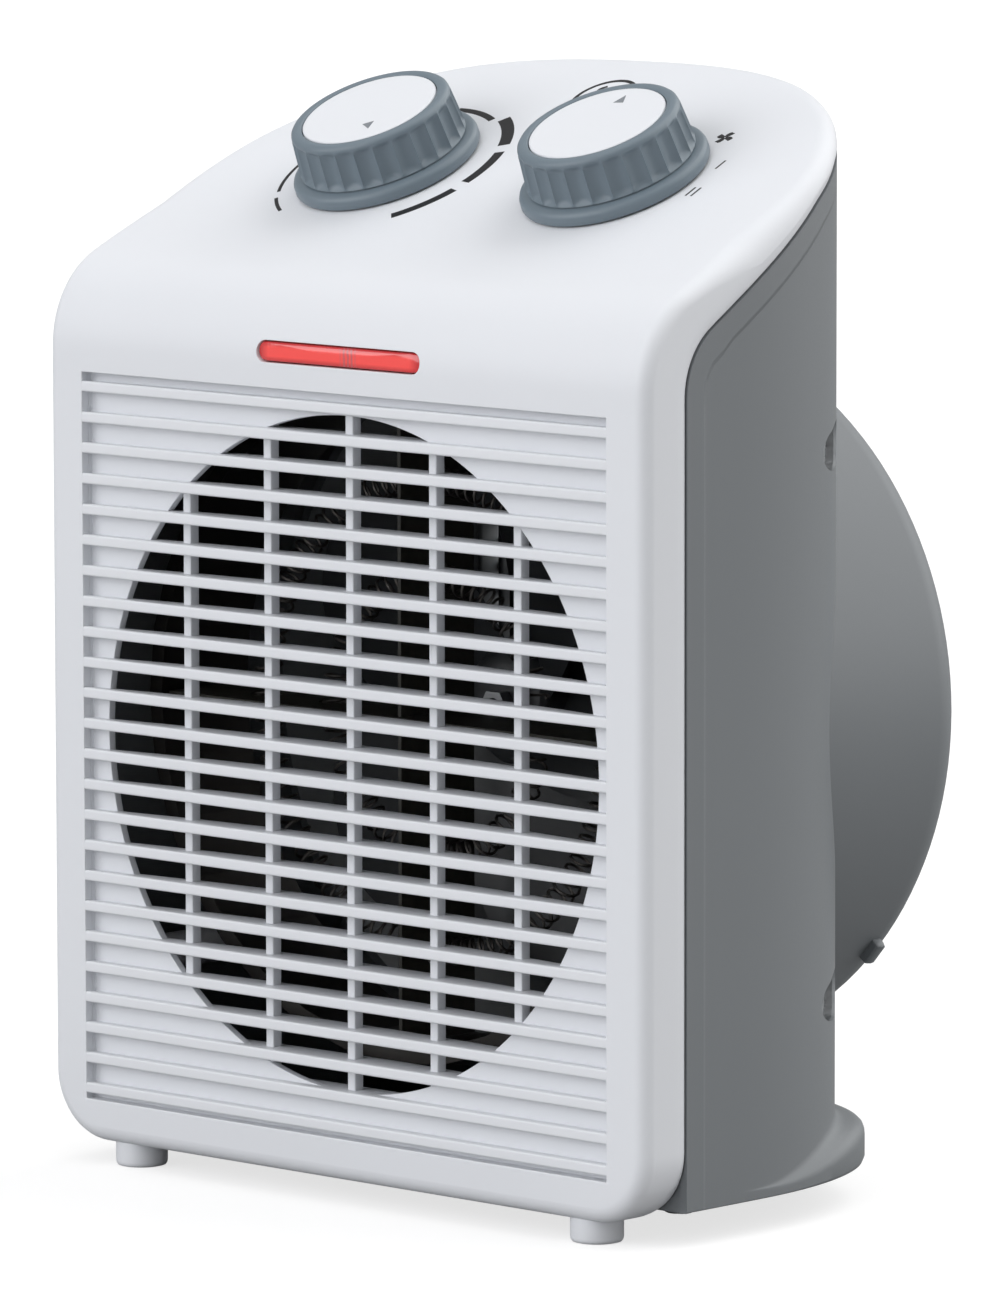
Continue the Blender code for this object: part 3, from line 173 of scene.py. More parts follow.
RECESS_HALF, RECESS_LOW, RECESS_HIGH, RECESS = 82 * MM, 15.3 * MM, 184.5 * MM, 3.2 * MM
BELOW_PANEL = 6.5 * MM  # from the panel's back edge down to the seam


def moulded(name, colour, roughness, grain, depth):
    """Injection-moulded plastic: an even colour with a slow drift of tone from the flow of the melt,
    and a fine eroded grain, grain metres across, that breaks up the gloss."""
    made = bpy.data.materials.new(name)
    made.use_nodes = True
    tree = made.node_tree
    shader = tree.nodes["Principled BSDF"]
    place = node(tree, "ShaderNodeTexCoord")
    drift = node(tree, "ShaderNodeTexNoise", [("Vector", place, "Object")], Scale=18, Detail=2)
    dark = [c * 0.965 for c in linear(colour)] + [1]
    tone = node(tree, "ShaderNodeMix", [("Factor", drift, "Fac")], data_type="RGBA")
    tone.inputs["A"].default_value = dark
    tone.inputs["B"].default_value = linear(colour) + [1]
    tree.links.new(tone.outputs["Result"], shader.inputs["Base Color"])
    skin = node(tree, "ShaderNodeTexNoise", [("Vector", place, "Object")], Scale=1 / grain, Detail=3)
    limits = {"To_Min": roughness - 0.05, "To_Max": roughness + 0.06}
    gloss = node(tree, "ShaderNodeMapRange", [("Value", skin, "Fac")], **limits)
    tree.links.new(gloss.outputs["Result"], shader.inputs["Roughness"])
    bump = node(tree, "ShaderNodeBump", [("Height", skin, "Fac")], Strength=0.5, Distance=depth)
    tree.links.new(bump.outputs["Normal"], shader.inputs["Normal"])
    shader.inputs["IOR"].default_value = 1.49
    return made


# White polypropylene from a fine-eroded mould: a soft sheen and no sharp reflections. The real grain is
# about 0.1 mm, drawn at 0.45 mm so that it still shows.
white = moulded("white_polypropylene", "#DFE1E5", 0.45, 0.45 * MM, 0.012 * MM)


def grid(points, around=False, along=False):
    """Quads between neighbours of a (rows, columns, 3) array. around joins each row's end to its start,
    and along joins the last row to the first."""
    rows, columns = points.shape[:2]
    i, j = np.meshgrid(np.arange(rows - (not along)), np.arange(columns - (not around)), indexing="ij")
    below, beside = (i + 1) % rows, (j + 1) % columns
    corners = [i * columns + j, i * columns + beside, below * columns + beside, below * columns + j]
    return points.reshape(-1, 3), np.stack(corners, -1).reshape(-1, 4)


def finished(name, mesh, material, body, stands_for, cutters=(), edge=0.0, sharp=38):
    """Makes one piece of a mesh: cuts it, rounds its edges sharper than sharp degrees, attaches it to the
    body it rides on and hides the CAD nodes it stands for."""
    made = bpy.data.objects.new(name, mesh)
    bpy.context.scene.collection.objects.link(made)
    for cutter in cutters:
        cut = made.modifiers.new("cut", "BOOLEAN")
        cut.operation = "DIFFERENCE"
        cut.object = cutter
    if edge:
        soften = made.modifiers.new("soften", "BEVEL")
        soften.width = edge
        soften.segments = 2
        soften.limit_method = "ANGLE"
        soften.angle_limit = math.radians(sharp)
    shaped = made.evaluated_get(bpy.context.evaluated_depsgraph_get())
    baked = bpy.data.meshes.new_from_object(shaped)
    made.modifiers.clear()
    made.data = baked
    baked.name = name
    baked.materials.clear()
    baked.materials.append(material)
    baked.shade_smooth()
    baked.set_sharp_from_angle(angle=math.radians(sharp + 12))
    even = made.modifiers.new("even", "WEIGHTED_NORMAL")
    even.keep_sharp = True
    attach(made, body)
    if stands_for:
        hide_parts(*stands_for)
    return made


def mesh_of(name, sheets):
    """Several (points, quads) sheets merged where they meet, with every face turned outwards."""
    starts = np.cumsum([0] + [len(points) for points, _ in sheets[:-1]])
    points = np.concatenate([points for points, _ in sheets])
    faces = np.concatenate([faces + start for (_, faces), start in zip(sheets, starts)])
    mesh = bpy.data.meshes.new(name)
    mesh.from_pydata(points, [], faces)
    shape = bmesh.new()
    shape.from_mesh(mesh)
    bmesh.ops.remove_doubles(shape, verts=shape.verts, dist=2e-6)
    bmesh.ops.recalc_face_normals(shape, faces=shape.faces)
    shape.to_mesh(mesh)
    shape.free()
    return mesh


def piece(name, sheets, material, body="heater", stands_for=(), **rest):
    """A finished piece from its sheets."""
    return finished(name, mesh_of(name, sheets), material, body, stands_for, **rest)


def tool(sheets):
    """A shape that cuts another and isn't kept."""
    made = bpy.data.objects.new("tool", mesh_of("tool", sheets))
    bpy.context.scene.collection.objects.link(made)
    made.hide_render = True
    made.display_type = "WIRE"
    return made


def drop(tools):
    """Removes the tools once they have cut."""
    for made in tools:
        bpy.data.objects.remove(made)


def xyz(x, depth, z):
    """Points from x, depth behind the front panel and height, which may be arrays."""
    return np.stack(np.broadcast_arrays(x, FRONT + depth, z), -1)


def superellipse(half, straight, back, power, steps):
    """x = half cos(t)^(2/n) and depth = straight + (back - straight) sin(t)^(2/n), t from 0 to 90 deg."""
    turn = np.linspace(0, np.pi / 2, steps + 1)
    across = half * np.abs(np.cos(turn)) ** (2 / power)
    across[-1] = 0
    return across, straight + (back - straight) * np.sin(turn) ** (2 / power)


def panel_height(depth, sink=0.0):
    """The control panel is a plane that climbs backwards at its tilt, and rolls off behind the knobs by
    PANEL_ROLL at its back edge, as the square of the way there."""
    roll_off = PANEL_ROLL * np.clip((depth - ROLL_START) / (BACK - ROLL_START), 0, 1) ** 2
    return PANEL_AT[1] + (depth - PANEL_AT[0]) * math.tan(TILT) - sink / math.cos(TILT) - roll_off


def seam_height(depth):
    """The rim's open edge in side view: an arc beside the brow, then a straight climb at SEAM_SLOPE, and
    at the back a line BELOW_PANEL under the panel."""
    across = np.clip(SEAM_RADIUS - (depth - RIM), 0, None)
    round_part = SEAM_START + np.sqrt(np.clip(SEAM_RADIUS**2 - across**2, 0, None))
    slope = SEAM_CORNER + (depth - RIM) * math.tan(SEAM_SLOPE)
    level = np.minimum(slope, panel_height(depth) - BELOW_PANEL)
    return np.where(depth < RIM + SEAM_RADIUS * (1 - math.sin(SEAM_SLOPE)), round_part, level)


# Rows of the cover's sheets. One falls on the recess's lower edge and one on its upper edge.
recess_turn = math.acos((COVER_BOTTOM + CORNER - RECESS_LOW) / (CORNER - EDGE))
corner_turns = np.sort(np.append(np.linspace(0, np.pi / 2, 15), recess_turn))
side_levels = np.append(np.linspace(COVER_BOTTOM + CORNER, RECESS_HIGH, 12)[1:], RECESS_HIGH + 3 * MM)


def along_edge(*columns):
    """Points as rows, from columns that may be single numbers."""
    return np.stack(np.broadcast_arrays(*columns), 1)


def cover_edge(inset):
    """The right-hand edge from the bottom corner to the middle of the back: the sharp corner of sheet and
    rim, the direction inwards on the sheet, and the rim's open edge, drawn in by an inset."""
    half = HALF_WIDTH - inset
    turn = corner_turns
    across = HALF_WIDTH - CORNER + (CORNER - inset) * np.sin(turn)
    height = COVER_BOTTOM + CORNER - (CORNER - inset) * np.cos(turn)
    corner = [along_edge(across, inset, height), along_edge(half, inset, side_levels)]
    inward = [along_edge(-np.sin(turn), 0, np.cos(turn)), along_edge(-1.0, 0, 0 * side_levels)]
    rim = [along_edge(across, RIM, height), along_edge(half, RIM, side_levels)]
    # The brow on the sheet, beside the seam's own arc.
    share = np.linspace(0, 1, 17)
    swing = math.pi / 2 - TILT
    radius = BROW - inset
    start = panel_height(inset, inset) - radius * math.tan(swing / 2)
    depth = inset + radius * (1 - np.cos(swing * share))
    corner.append(along_edge(half, depth, start + radius * np.sin(swing * share)))
    inward.append(along_edge(-1.0, 0, 0 * share))
    brow_end = depth[-1]
    swing = math.pi / 2 - SEAM_SLOPE
    depth = RIM + SEAM_RADIUS * (1 - np.cos(swing * share))
    rim.append(along_edge(half, depth, SEAM_START + SEAM_RADIUS * np.sin(swing * share)))
    lead = depth[-1] - brow_end
    # The control panel. The rim's points lead the sheet's at first, and fall straight below them later.
    across, depth = superellipse(half, STRAIGHT, BACK - inset, POWER, 44)
    across, depth = np.append(half, across), np.append((brow_end + STRAIGHT) / 2, depth)
    corner.append(along_edge(across, depth, panel_height(depth, inset)))
    mirrored = corner[-1][-2:-1] * [-1, 1, 1]
    ahead = np.gradient(np.vstack([corner[-2][-1:], corner[-1], mirrored]), axis=0)[1:-1]
    ahead[-1] = [-1, 0, 0]
    inwards = np.cross([0, -math.sin(TILT), math.cos(TILT)], ahead)
    inward.append(inwards / np.linalg.norm(inwards, axis=1)[:, None])
    left = np.clip(1 - (depth - brow_end) / (LEAD_END - brow_end), 0, None)
    rim_depth = np.minimum(depth + lead * left, BACK - inset)
    reach = np.clip((rim_depth - STRAIGHT) / (BACK - inset - STRAIGHT), 0, 1)
    rim_across = np.where(left > 0, half * (1 - reach**POWER) ** (1 / POWER), across)
    rim.append(along_edge(rim_across, rim_depth, seam_height(rim_depth)))
    return np.concatenate(corner), np.concatenate(inward), np.concatenate(rim)


inner_columns = np.linspace(-RECESS_HALF, RECESS_HALF, 11)


def sheet_columns(edge_x):
    """x of every column of each row: fixed beside the grille, and drawn together where rows are short."""
    scale = np.minimum(1, edge_x / (RECESS_HALF + 5 * MM))
    return np.hstack([-edge_x[:, None], scale[:, None] * inner_columns, edge_x[:, None]])


def unit(vectors):
    """Each row brought to length 1."""
    return vectors / np.linalg.norm(vectors, axis=1)[:, None]


def cover_side(inset, rounding, is_outer, steps=7):
    """The sheet as ruled rows, and the rings that carry its edge over a fillet to the rim. The fillet is
    the great arc between the two points where it touches the sheet and the rim's wall."""
    corner, inward, rim = cover_edge(inset)
    columns = sheet_columns(np.array([corner[0, 0]]))[0][1:-1]
    flip = np.array([-1, 1, 1])
    corner = np.vstack([along_edge(columns, *corner[0, 1:]), corner, corner[-2::-1] * flip])
    inward = np.vstack([np.tile(inward[0], (len(columns), 1)), inward, inward[-2::-1] * flip])
    rim = np.vstack([along_edge(columns, *rim[0, 1:]), rim, rim[-2::-1] * flip])
    down = unit(rim - corner)
    reach = np.linalg.norm(rim - corner, axis=1)[:, None]
    half_angle = np.arccos(np.clip((inward * down).sum(1), -1, 1))[:, None] / 2
    if is_outer:
        back = np.clip((corner[:, 1:2] - PANEL_EDGE_START) / PANEL_EDGE_GROWS, 0, 1)
        rounding = EDGE + PANEL_EDGE * back * back * (3 - 2 * back)
        rounding = np.minimum(rounding, 0.72 * reach * np.tan(half_angle))
    centre = corner + unit(inward + down) * rounding / np.sin(half_angle)
    first = corner + inward * rounding / np.tan(half_angle) - centre
    last = corner + down * rounding / np.tan(half_angle) - centre
    swing = math.pi - 2 * half_angle
    rings = []
    for share in np.linspace(0, 1, steps + 1):
        turned_on = first * np.sin(swing * (1 - share)) + last * np.sin(swing * share)
        rings.append(centre + turned_on / np.sin(swing))
    if is_outer:
        length = np.linalg.norm(rim - rings[-1], axis=1)[:, None]
        for left in (LIP, 0.75 * LIP, 0.5 * LIP, 0.25 * LIP, 0.08 * LIP, 0):
            left = np.minimum(left, 0.9 * length)
            rings.append(rim - down * left + inward * LIP_DRAW * (1 - left / LIP) ** 2)
    else:
        rings.append(rim)
    rings = np.array(rings)
    right = rings[0, len(columns) : (len(columns) + len(corner) + 1) // 2]
    across = sheet_columns(right[:, 0])
    sheet = np.stack(np.broadcast_arrays(across, right[:, 1:2], right[:, 2:3]), -1)
    sheet[..., 1] += FRONT
    rings[..., 1] += FRONT
    return sheet, rings


def open_grid(sheet):
    """The sheet's quads without those in front of the grille."""
    points, faces = grid(sheet)
    middle = points[faces].mean(1)
    level = middle[:, 2]
    inside = (np.abs(middle[:, 0]) < RECESS_HALF) & (level > RECESS_LOW) & (level < RECESS_HIGH)
    return points, faces[~inside]


outer_sheet, outer_rings = cover_side(0, EDGE, True)
inner_sheet, inner_rings = cover_side(WALL, EDGE - WALL, False)
rim_edge = np.array([outer_rings[-1], inner_rings[-1]])
levels = outer_sheet[:, 1, 2]
rows = np.flatnonzero((levels > RECESS_LOW - 1e-6) & (levels < RECESS_HIGH + 1e-6))
opening = [
    outer_sheet[rows[0], 1:-1],
    outer_sheet[rows[1:], -2],
    outer_sheet[rows[-1], -3:0:-1],
    outer_sheet[rows[-2::-1], 1],
]
opening = np.vstack(opening)[:-1]
jamb = np.array([opening, opening + [0, WALL, 0]])


def bar(half_length, half_height, steps=10):
    """Outline of a bar with round ends."""
    turn = np.linspace(-np.pi / 2, np.pi / 2, steps + 1)
    x = half_length - half_height + half_height * np.cos(turn)
    z = half_height * np.sin(turn)
    return np.append(x, -x), np.append(z, -z)


def rod_sheets(x, z, low, high):
    """A solid between two depths with a convex outline, closed by a fan at each end."""
    middle = (x.mean(), z.mean() + 0 * x)
    stations = ((middle, low), ((x, z), low), ((x, z), high), (middle, high))
    rings = [xyz(across, depth, level) for (across, level), depth in stations]
    return [grid(np.array(rings), around=True)]


def middle_of(name):
    """The middle of a CAD node's box."""
    low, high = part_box(name)
    return (low + high) / 2


LENS_LEVEL = middle_of("indicator_lens").z
x, z = bar(25.5 * MM, 2.5 * MM)
slot = tool(rod_sheets(x, LENS_LEVEL + z, -5 * MM, 8 * MM))
shell = [open_grid(outer_sheet), open_grid(inner_sheet)]
shell += [grid(r, around=True) for r in (outer_rings, inner_rings, rim_edge, jamb)]
piece("cover_shell", shell, white, stands_for=["front_cover"], cutters=[slot], edge=0.4 * MM)
drop([slot])

# ---------------------------------------------------------------- grille
# The same moulding as the cover: a shallow recessed floor with a round outlet, upright ribs across it,
# and louvre slats flush with the front. Each slat is bowed deeper at its middle to stiffen it.

OUTLET, OUTLET_LEVEL = 76.9 * MM, 102.5 * MM
FLOOR_WALL, FLOOR_LAP = 2 * MM, 1.8 * MM

turn = np.linspace(-np.pi, np.pi, 193)[:-1]
low, high = RECESS_LOW - OUTLET_LEVEL, RECESS_HIGH - OUTLET_LEVEL
corners = [math.atan2(v, u) for u in (-RECESS_HALF, RECESS_HALF) for v in (low, high)]
turn = np.sort(np.append(turn, corners))


def rectangle(half, low, high):
    """Where rays from the outlet's centre meet a rectangle."""
    with np.errstate(divide="ignore"):
        side = half / np.abs(np.cos(turn))
        end = np.where(np.sin(turn) > 0, high, -low) / np.abs(np.sin(turn))
    reach = np.minimum(side, end)
    return reach * np.cos(turn), OUTLET_LEVEL + reach * np.sin(turn)


hole = (OUTLET * np.cos(turn), OUTLET_LEVEL + OUTLET * np.sin(turn))
inside = rectangle(RECESS_HALF, low, high)
outside = rectangle(RECESS_HALF + FLOOR_LAP, low - FLOOR_LAP, high + FLOOR_LAP)
stations = [(inside, WALL), (inside, RECESS), (hole, RECESS)]
stations += [(hole, RECESS + FLOOR_WALL), (outside, RECESS + FLOOR_WALL), (outside, WALL)]
rings = np.array([xyz(x, depth, z) for (x, z), depth in stations])
floor_sheet = grid(rings, around=True, along=True)
piece("grille_floor", [floor_sheet], white, stands_for=["front_cover"], edge=0.2 * MM)

SLATS, PITCH, SLAT_TOP, SLAT_HEIGHT = 24, 7.1 * MM, 182.4 * MM, 2.5 * MM
SLAT_HALF, SLAT_FRONT, SLAT_END, SLAT_BOW = 82.6 * MM, 0.05 * MM, 3.7 * MM, 6.4 * MM
x = np.linspace(-SLAT_HALF, SLAT_HALF, 41)
back_edge = SLAT_END + SLAT_BOW * (1 - (x / (82.8 * MM)) ** 2)
# Section, clockwise from the top front: rounded nose, level faces, rounded tail.
nose = 0.5 * MM
quarter = np.linspace(0, np.pi / 2, 5)
nose_depth = np.tile(SLAT_FRONT + nose - nose * np.cos(quarter), (len(x), 1))
nose_level = nose - nose * np.sin(quarter)
tail_level = np.array([-0.25, -0.4, -0.8, -1.7, -2.1, -2.25]) * MM
tail_round = np.array([0.5, 0.15, 0, 0, 0.15, 0.5]) * MM
depths = np.hstack([nose_depth, back_edge[:, None] - tail_round, nose_depth[:, ::-1]])
heights = np.concatenate([-nose_level, tail_level, nose_level[::-1] - SLAT_HEIGHT])
slats = []
for i in range(SLATS):
    level = SLAT_TOP - i * PITCH
    slats.append(grid(xyz(x[:, None], depths, level + heights), around=True))
piece("grille_slats", slats, white, stands_for=["front_cover"])

RIBS, RIB_PITCH, RIB_WIDTH, RIB_FRONT = 5, 25.9 * MM, 2.5 * MM, 3.8 * MM
across = np.array([-1, -1, -0.76, 0.76, 1, 1, 0.8, -0.8]) * RIB_WIDTH / 2
depth = np.array([2.6, 0.3, 0, 0, 0.3, 2.6, 2.8, 2.8]) * MM + RIB_FRONT
ribs = []
for i in range(RIBS):
    x = (i - (RIBS - 1) / 2) * RIB_PITCH
    reach = math.sqrt(OUTLET**2 - x**2) + 1.2 * MM
    levels = np.array([-reach, reach])[:, None] + OUTLET_LEVEL
    ribs.append(grid(xyz(x + across, depth, levels), around=True))
piece("grille_ribs", ribs, white, stands_for=["front_cover"])


def ring_stack(stations, across, level, sides=36):
    """Rings about a level axis at (radius, depth) stations in millimetres."""
    turn = np.linspace(0, 2 * np.pi, sides + 1)[:-1]
    radius, depth = np.array(stations, float).T[:, :, None] * MM
    return xyz(across + radius * np.cos(turn), depth, level + radius * np.sin(turn))


POST_X = abs(middle_of("housing_screw_1").x)
screw_levels = [middle_of(f"housing_screw_{i}").z for i in (1, 3)]
post_profile = ((1.8, 5), (4.2, 5), (4.2, 59.7), (1.8, 59.7))
places = [(side, level) for side in (-1, 1) for level in screw_levels]
posts = [
    grid(ring_stack(post_profile, side * POST_X, level, 32), around=True, along=True)
    for side, level in places
]
piece("cover_posts", posts, white, stands_for=["front_cover"])

# ---------------------------------------------------------------- indicator window
# A clear red polycarbonate lens pushed into its slot from behind. Its back is ribbed to spread the
# light of the neon lamp, whose holder shows through as a darker patch in the middle.

# Polycarbonate: a clear glossy red. A faint red emission over the whole window is a painted glow that stands
# in for light passing through it.
red = bpy.data.materials.new("red_polycarbonate")
red.use_nodes = True
tree = red.node_tree
shader = tree.nodes["Principled BSDF"]
place = node(tree, "ShaderNodeTexCoord")
parts = node(tree, "ShaderNodeSeparateXYZ", [("Vector", place, "Object")])


def math_node(operation, source, output, constant=None, links=()):
    """One sum on a value, with a constant or a second link."""
    made = node(tree, "ShaderNodeMath", [(0, source, output), *links], operation=operation)
    if constant is not None:
        made.inputs[1].default_value = constant
    return made


def fade(source, start, end, high, low):
    """From high at start to low at end."""
    limits = {"From_Min": start, "From_Max": end, "To_Min": high, "To_Max": low}
    return node(tree, "ShaderNodeMapRange", [("Value", source, "Value")], **limits)


# Painted shade: the red is painted darker towards the edges and the ends of the window, and lightest in the
# middle.
level = math_node("SUBTRACT", parts, "Z", LENS_LEVEL)
core = fade(math_node("ABSOLUTE", level, "Value"), 1.0 * MM, 2.15 * MM, 1, 0)
ends = fade(math_node("ABSOLUTE", parts, "X"), 22 * MM, 24.6 * MM, 1, 0.1)
painted_light_share = math_node("MULTIPLY", core, "Result", links=[(1, ends, "Result")])
# Mixes the dark painted-shade red into the bright painted-light red by that share.
colour = node(tree, "ShaderNodeMix", [("Factor", painted_light_share, "Value")], data_type="RGBA")
colour.inputs["A"].default_value = linear("#A81824") + [1]
colour.inputs["B"].default_value = linear("#EE4B47") + [1]
# The lamp holder: a greyish patch 4 mm wide, a little right of the middle, broken up by the ribs.
HOLDER_AT = 3.2 * MM
waves = {"Scale": 260, "Distortion": 2.5, "bands_direction": "X"}
ribbing = node(tree, "ShaderNodeTexWave", [("Vector", place, "Object")], **waves)
aside = math_node("SUBTRACT", parts, "X", HOLDER_AT)
patch = fade(math_node("ABSOLUTE", aside, "Value"), 1.2 * MM, 3.0 * MM, 0.75, 0)
patch = math_node("MULTIPLY", patch, "Result", links=[(1, ribbing, "Fac")])
links = [("Factor", patch, "Value"), ("A", colour, "Result")]
colour = node(tree, "ShaderNodeMix", links, data_type="RGBA")
colour.inputs["B"].default_value = linear("#8F5A62") + [1]
tree.links.new(colour.outputs["Result"], shader.inputs["Base Color"])
links = [("Height", ribbing, "Fac")]
bump = node(tree, "ShaderNodeBump", links, Strength=0.25, Distance=0.05 * MM)
tree.links.new(bump.outputs["Normal"], shader.inputs["Normal"])
shader.inputs["Roughness"].default_value = 0.12
shader.inputs["IOR"].default_value = 1.58
shader.inputs["Coat Weight"].default_value = 0.6
shader.inputs["Coat Roughness"].default_value = 0.04
# Painted glow: an even faint emission in place of light passing through the lens.
shader.inputs["Emission Strength"].default_value = 0.12
shader.inputs["Emission Color"].default_value = linear("#FF4A40") + [1]
x, z = bar(25.2 * MM, 2.2 * MM)
u = np.array([0, 0.4, 0.75, 0.93, 1, 1, 0])[:, None]
depth = np.array([0.35, 0.36, 0.4, 0.5, 0.9, 4.2, 4.2])[:, None] * MM
window = grid(xyz(u * x, depth, LENS_LEVEL + u * z), around=True)
piece("indicator_window", [window], red, stands_for=["indicator_lens"])

# ---------------------------------------------------------------- rear housing
# One grey polypropylene wall, D-shaped from above, that meets the cover's rim at a seam. Its foot
# swells into a skid round the back. Four deep pockets hold the screws that pull the cover on.

HOUSING_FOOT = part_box("base_plate")[0].z
SKID_BACK = 110.5 * MM
SEAM_GAP = 0.25 * MM
SKID_POWER = 3.1
SKID_START, SKID_GROWS = 38 * MM, 46 * MM
DRUM_LEVEL = middle_of("rear_grille").z
DRUM_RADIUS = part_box("rear_grille")[1].x
POCKET, POCKET_X, POCKET_FLOOR, POCKET_POINT = 4.6 * MM, 83 * MM, 62.5 * MM, 3.6 * MM

# Grey polypropylene, a cool mid grey, from the same fine-eroded tool, slightly shinier than the white.
grey = moulded("grey_polypropylene", "#75797C", 0.48, 0.45 * MM, 0.012 * MM)
grey_band = grey.copy()
grey_band.name = "grey_polypropylene_banded"
tree = grey_band.node_tree
# The band beside the seam stands 0.3 mm proud, and its edge is a soft step 6 mm from the seam.
seam = node(tree, "ShaderNodeUVMap", uv_map="seam")
away = node(tree, "ShaderNodeSeparateXYZ", [("Vector", seam, "UV")])
limits = {"From_Min": 5.4 * MM, "From_Max": 6.6 * MM, "To_Min": 1, "To_Max": 0}
links = [("Value", away, "X")]
step = node(tree, "ShaderNodeMapRange", links, interpolation_type="SMOOTHERSTEP", **limits)
grain = next(n for n in tree.nodes if n.bl_idname == "ShaderNodeBump")
links = [("Height", step, "Result"), ("Normal", grain, "Normal")]
raised = node(tree, "ShaderNodeBump", links, Strength=1, Distance=0.3 * MM)
tree.links.new(raised.outputs["Normal"], tree.nodes["Principled BSDF"].inputs["Normal"])

turn = np.radians(np.linspace(0, 58, 24))
first = RIM + SEAM_GAP + SEAM_RADIUS * (1 - np.cos(turn))
first = first[first < STRAIGHT]


def wall_plan(inset, back, power):
    """The right half of the wall's plan: straight beside the seam, then a superellipse round the back."""
    across, depth = superellipse(HALF_WIDTH - inset, STRAIGHT, back - inset, power, 72)
    return np.append(np.full(len(first), HALF_WIDTH - inset), across), np.append(first, depth)


plan_x, plan_y = wall_plan(0, BACK, POWER)
skid_x, skid_y = wall_plan(0, SKID_BACK, SKID_POWER)
inner_x, inner_y = wall_plan(WALL, BACK, POWER)
# Foot profile: share of the way out to the skid, height above the foot and draw-in, in millimetres.
foot = [(1, 0, 2.6), (1, 0.25, 1.5), (1, 0.9, 0.55), (1, 2.2, 0), (1, 6.8, 0), (0.985, 8.0, 0)]
foot += [(0.93, 9.1, 0), (0.82, 9.9, 0), (0.62, 10.4, 0), (0.36, 10.8, 0), (0.15, 11.3, 0)]
foot += [(0.04, 12.2, 0), (0, 14, 0)]
share, rise, draw = np.array(foot).T[:, :, None] * [[[1]], [[MM]], [[MM]]]
# The skid swells only round the back: beside the front it is a low plinth.
swell = np.clip((plan_y - SKID_START) / SKID_GROWS, 0, 1)
swell = 0.25 + 0.75 * swell * swell * (3 - 2 * swell)
rise = rise * swell
out_x = plan_x + share * (skid_x - plan_x)
out_y = plan_y + share * (skid_y - plan_y)
normal_x, normal_y = np.gradient(skid_y), -np.gradient(skid_x)
length = np.hypot(normal_x, normal_y)
out_x = out_x - draw * normal_x / length
out_y = out_y - draw * normal_y / length
out_y[:, 0] = np.maximum(out_y[:, 0], RIM + SEAM_GAP)
out_x[:, -1] = 0
top = seam_height(np.maximum(plan_y - SEAM_GAP, RIM)) - SEAM_GAP
climb = np.linspace(0, 1, 40)[1:, None]
start = HOUSING_FOOT + rise[-1]
wall_z = start + climb * (top - start)
outer_x = np.vstack([out_x, np.broadcast_to(plan_x, wall_z.shape)])
outer_y = np.vstack([out_y, np.broadcast_to(plan_y, wall_z.shape)])
outer_z = np.vstack([HOUSING_FOOT + rise, wall_z])
right_outer = xyz(outer_x, outer_y, outer_z)
inner_top = seam_height(np.maximum(inner_y - SEAM_GAP, RIM)) - SEAM_GAP
share_up = (outer_z - HOUSING_FOOT) / (top - HOUSING_FOOT)
right_inner = xyz(inner_x, inner_y, HOUSING_FOOT + share_up * (inner_top - HOUSING_FOOT))


def both(right):
    """A symmetrical sheet from its right half, which ends on the middle line."""
    return np.concatenate([right, right[:, -2::-1] * [-1, 1, 1]], axis=1)


outer_wall, inner_wall = both(right_outer), both(right_inner)
wall = [grid(outer_wall), grid(inner_wall)]
for edge in (
    np.array([outer_wall[-1], inner_wall[-1]]),
    np.array([outer_wall[0], inner_wall[0]]),
    np.array([outer_wall[:, 0], inner_wall[:, 0]]),
    np.array([outer_wall[:, -1], inner_wall[:, -1]]),
):
    wall.append(grid(edge))


def drop_outline(level, side, margin=0.0, steps=36):
    """A round of radius POCKET with a point drawn up and inwards, as (x, z)."""
    turn = np.linspace(0, 2 * np.pi, steps + 1)[:-1]
    toward = math.radians(132)
    away = np.abs((turn - toward + np.pi) % (2 * np.pi) - np.pi)
    reach = POCKET + margin + POCKET_POINT * np.clip(1 - away / 0.95, 0, 1) ** 1.25
    return side * (POCKET_X + reach * np.cos(turn)), level + reach * np.sin(turn)


BEHIND = 135 * MM  # clear of the back, where every cut ends
turn = np.linspace(0, 2 * np.pi, 161)[:-1]
reach = DRUM_RADIUS + 0.25 * MM
opening = (reach * np.cos(turn), DRUM_LEVEL + reach * np.sin(turn))
cuts = [tool(rod_sheets(*opening, 45 * MM, BEHIND))]
for side, level in places:
    cuts.append(tool(rod_sheets(*drop_outline(level, side), POCKET_FLOOR, BEHIND)))
housing = piece("housing_wall", wall, grey_band, stands_for=["rear_housing"], cutters=cuts, edge=0.35 * MM)
drop(cuts)

# The distance of every corner of a face from the seam, in side view, kept as a UV map for the band.
seam_turn = np.linspace(0, 1, 200)
seam_arc = RIM + SEAM_RADIUS * (1 - np.cos(seam_turn * (math.pi / 2 - SEAM_SLOPE)))
seam_depth = np.concatenate([np.full(40, RIM), seam_arc, np.linspace(seam_arc[-1], BACK, 200)])
seam_line = np.stack([seam_depth, seam_height(seam_depth)], 1)
seam_line[:40, 1] = np.linspace(HOUSING_FOOT, SEAM_START, 40)
count = len(housing.data.vertices)
points = np.empty(count * 3)
housing.data.vertices.foreach_get("co", points)
points = points.reshape(-1, 3)
flat = np.stack([points[:, 1] - FRONT, points[:, 2]], 1)
start, end = seam_line[:-1], seam_line[1:]
span = end - start
nearest = np.full(count, 1.0)
for at, way in zip(start, span):
    along = np.clip(((flat - at) @ way) / max(way @ way, 1e-12), 0, 1)[:, None]
    nearest = np.minimum(nearest, np.linalg.norm(flat - at - along * way, axis=1))
corner_of = np.empty(len(housing.data.loops), np.int32)
housing.data.loops.foreach_get("vertex_index", corner_of)
uv = np.stack([nearest[corner_of], points[corner_of, 2]], 1)
housing.data.uv_layers.new(name="seam").data.foreach_set("uv", uv.ravel())


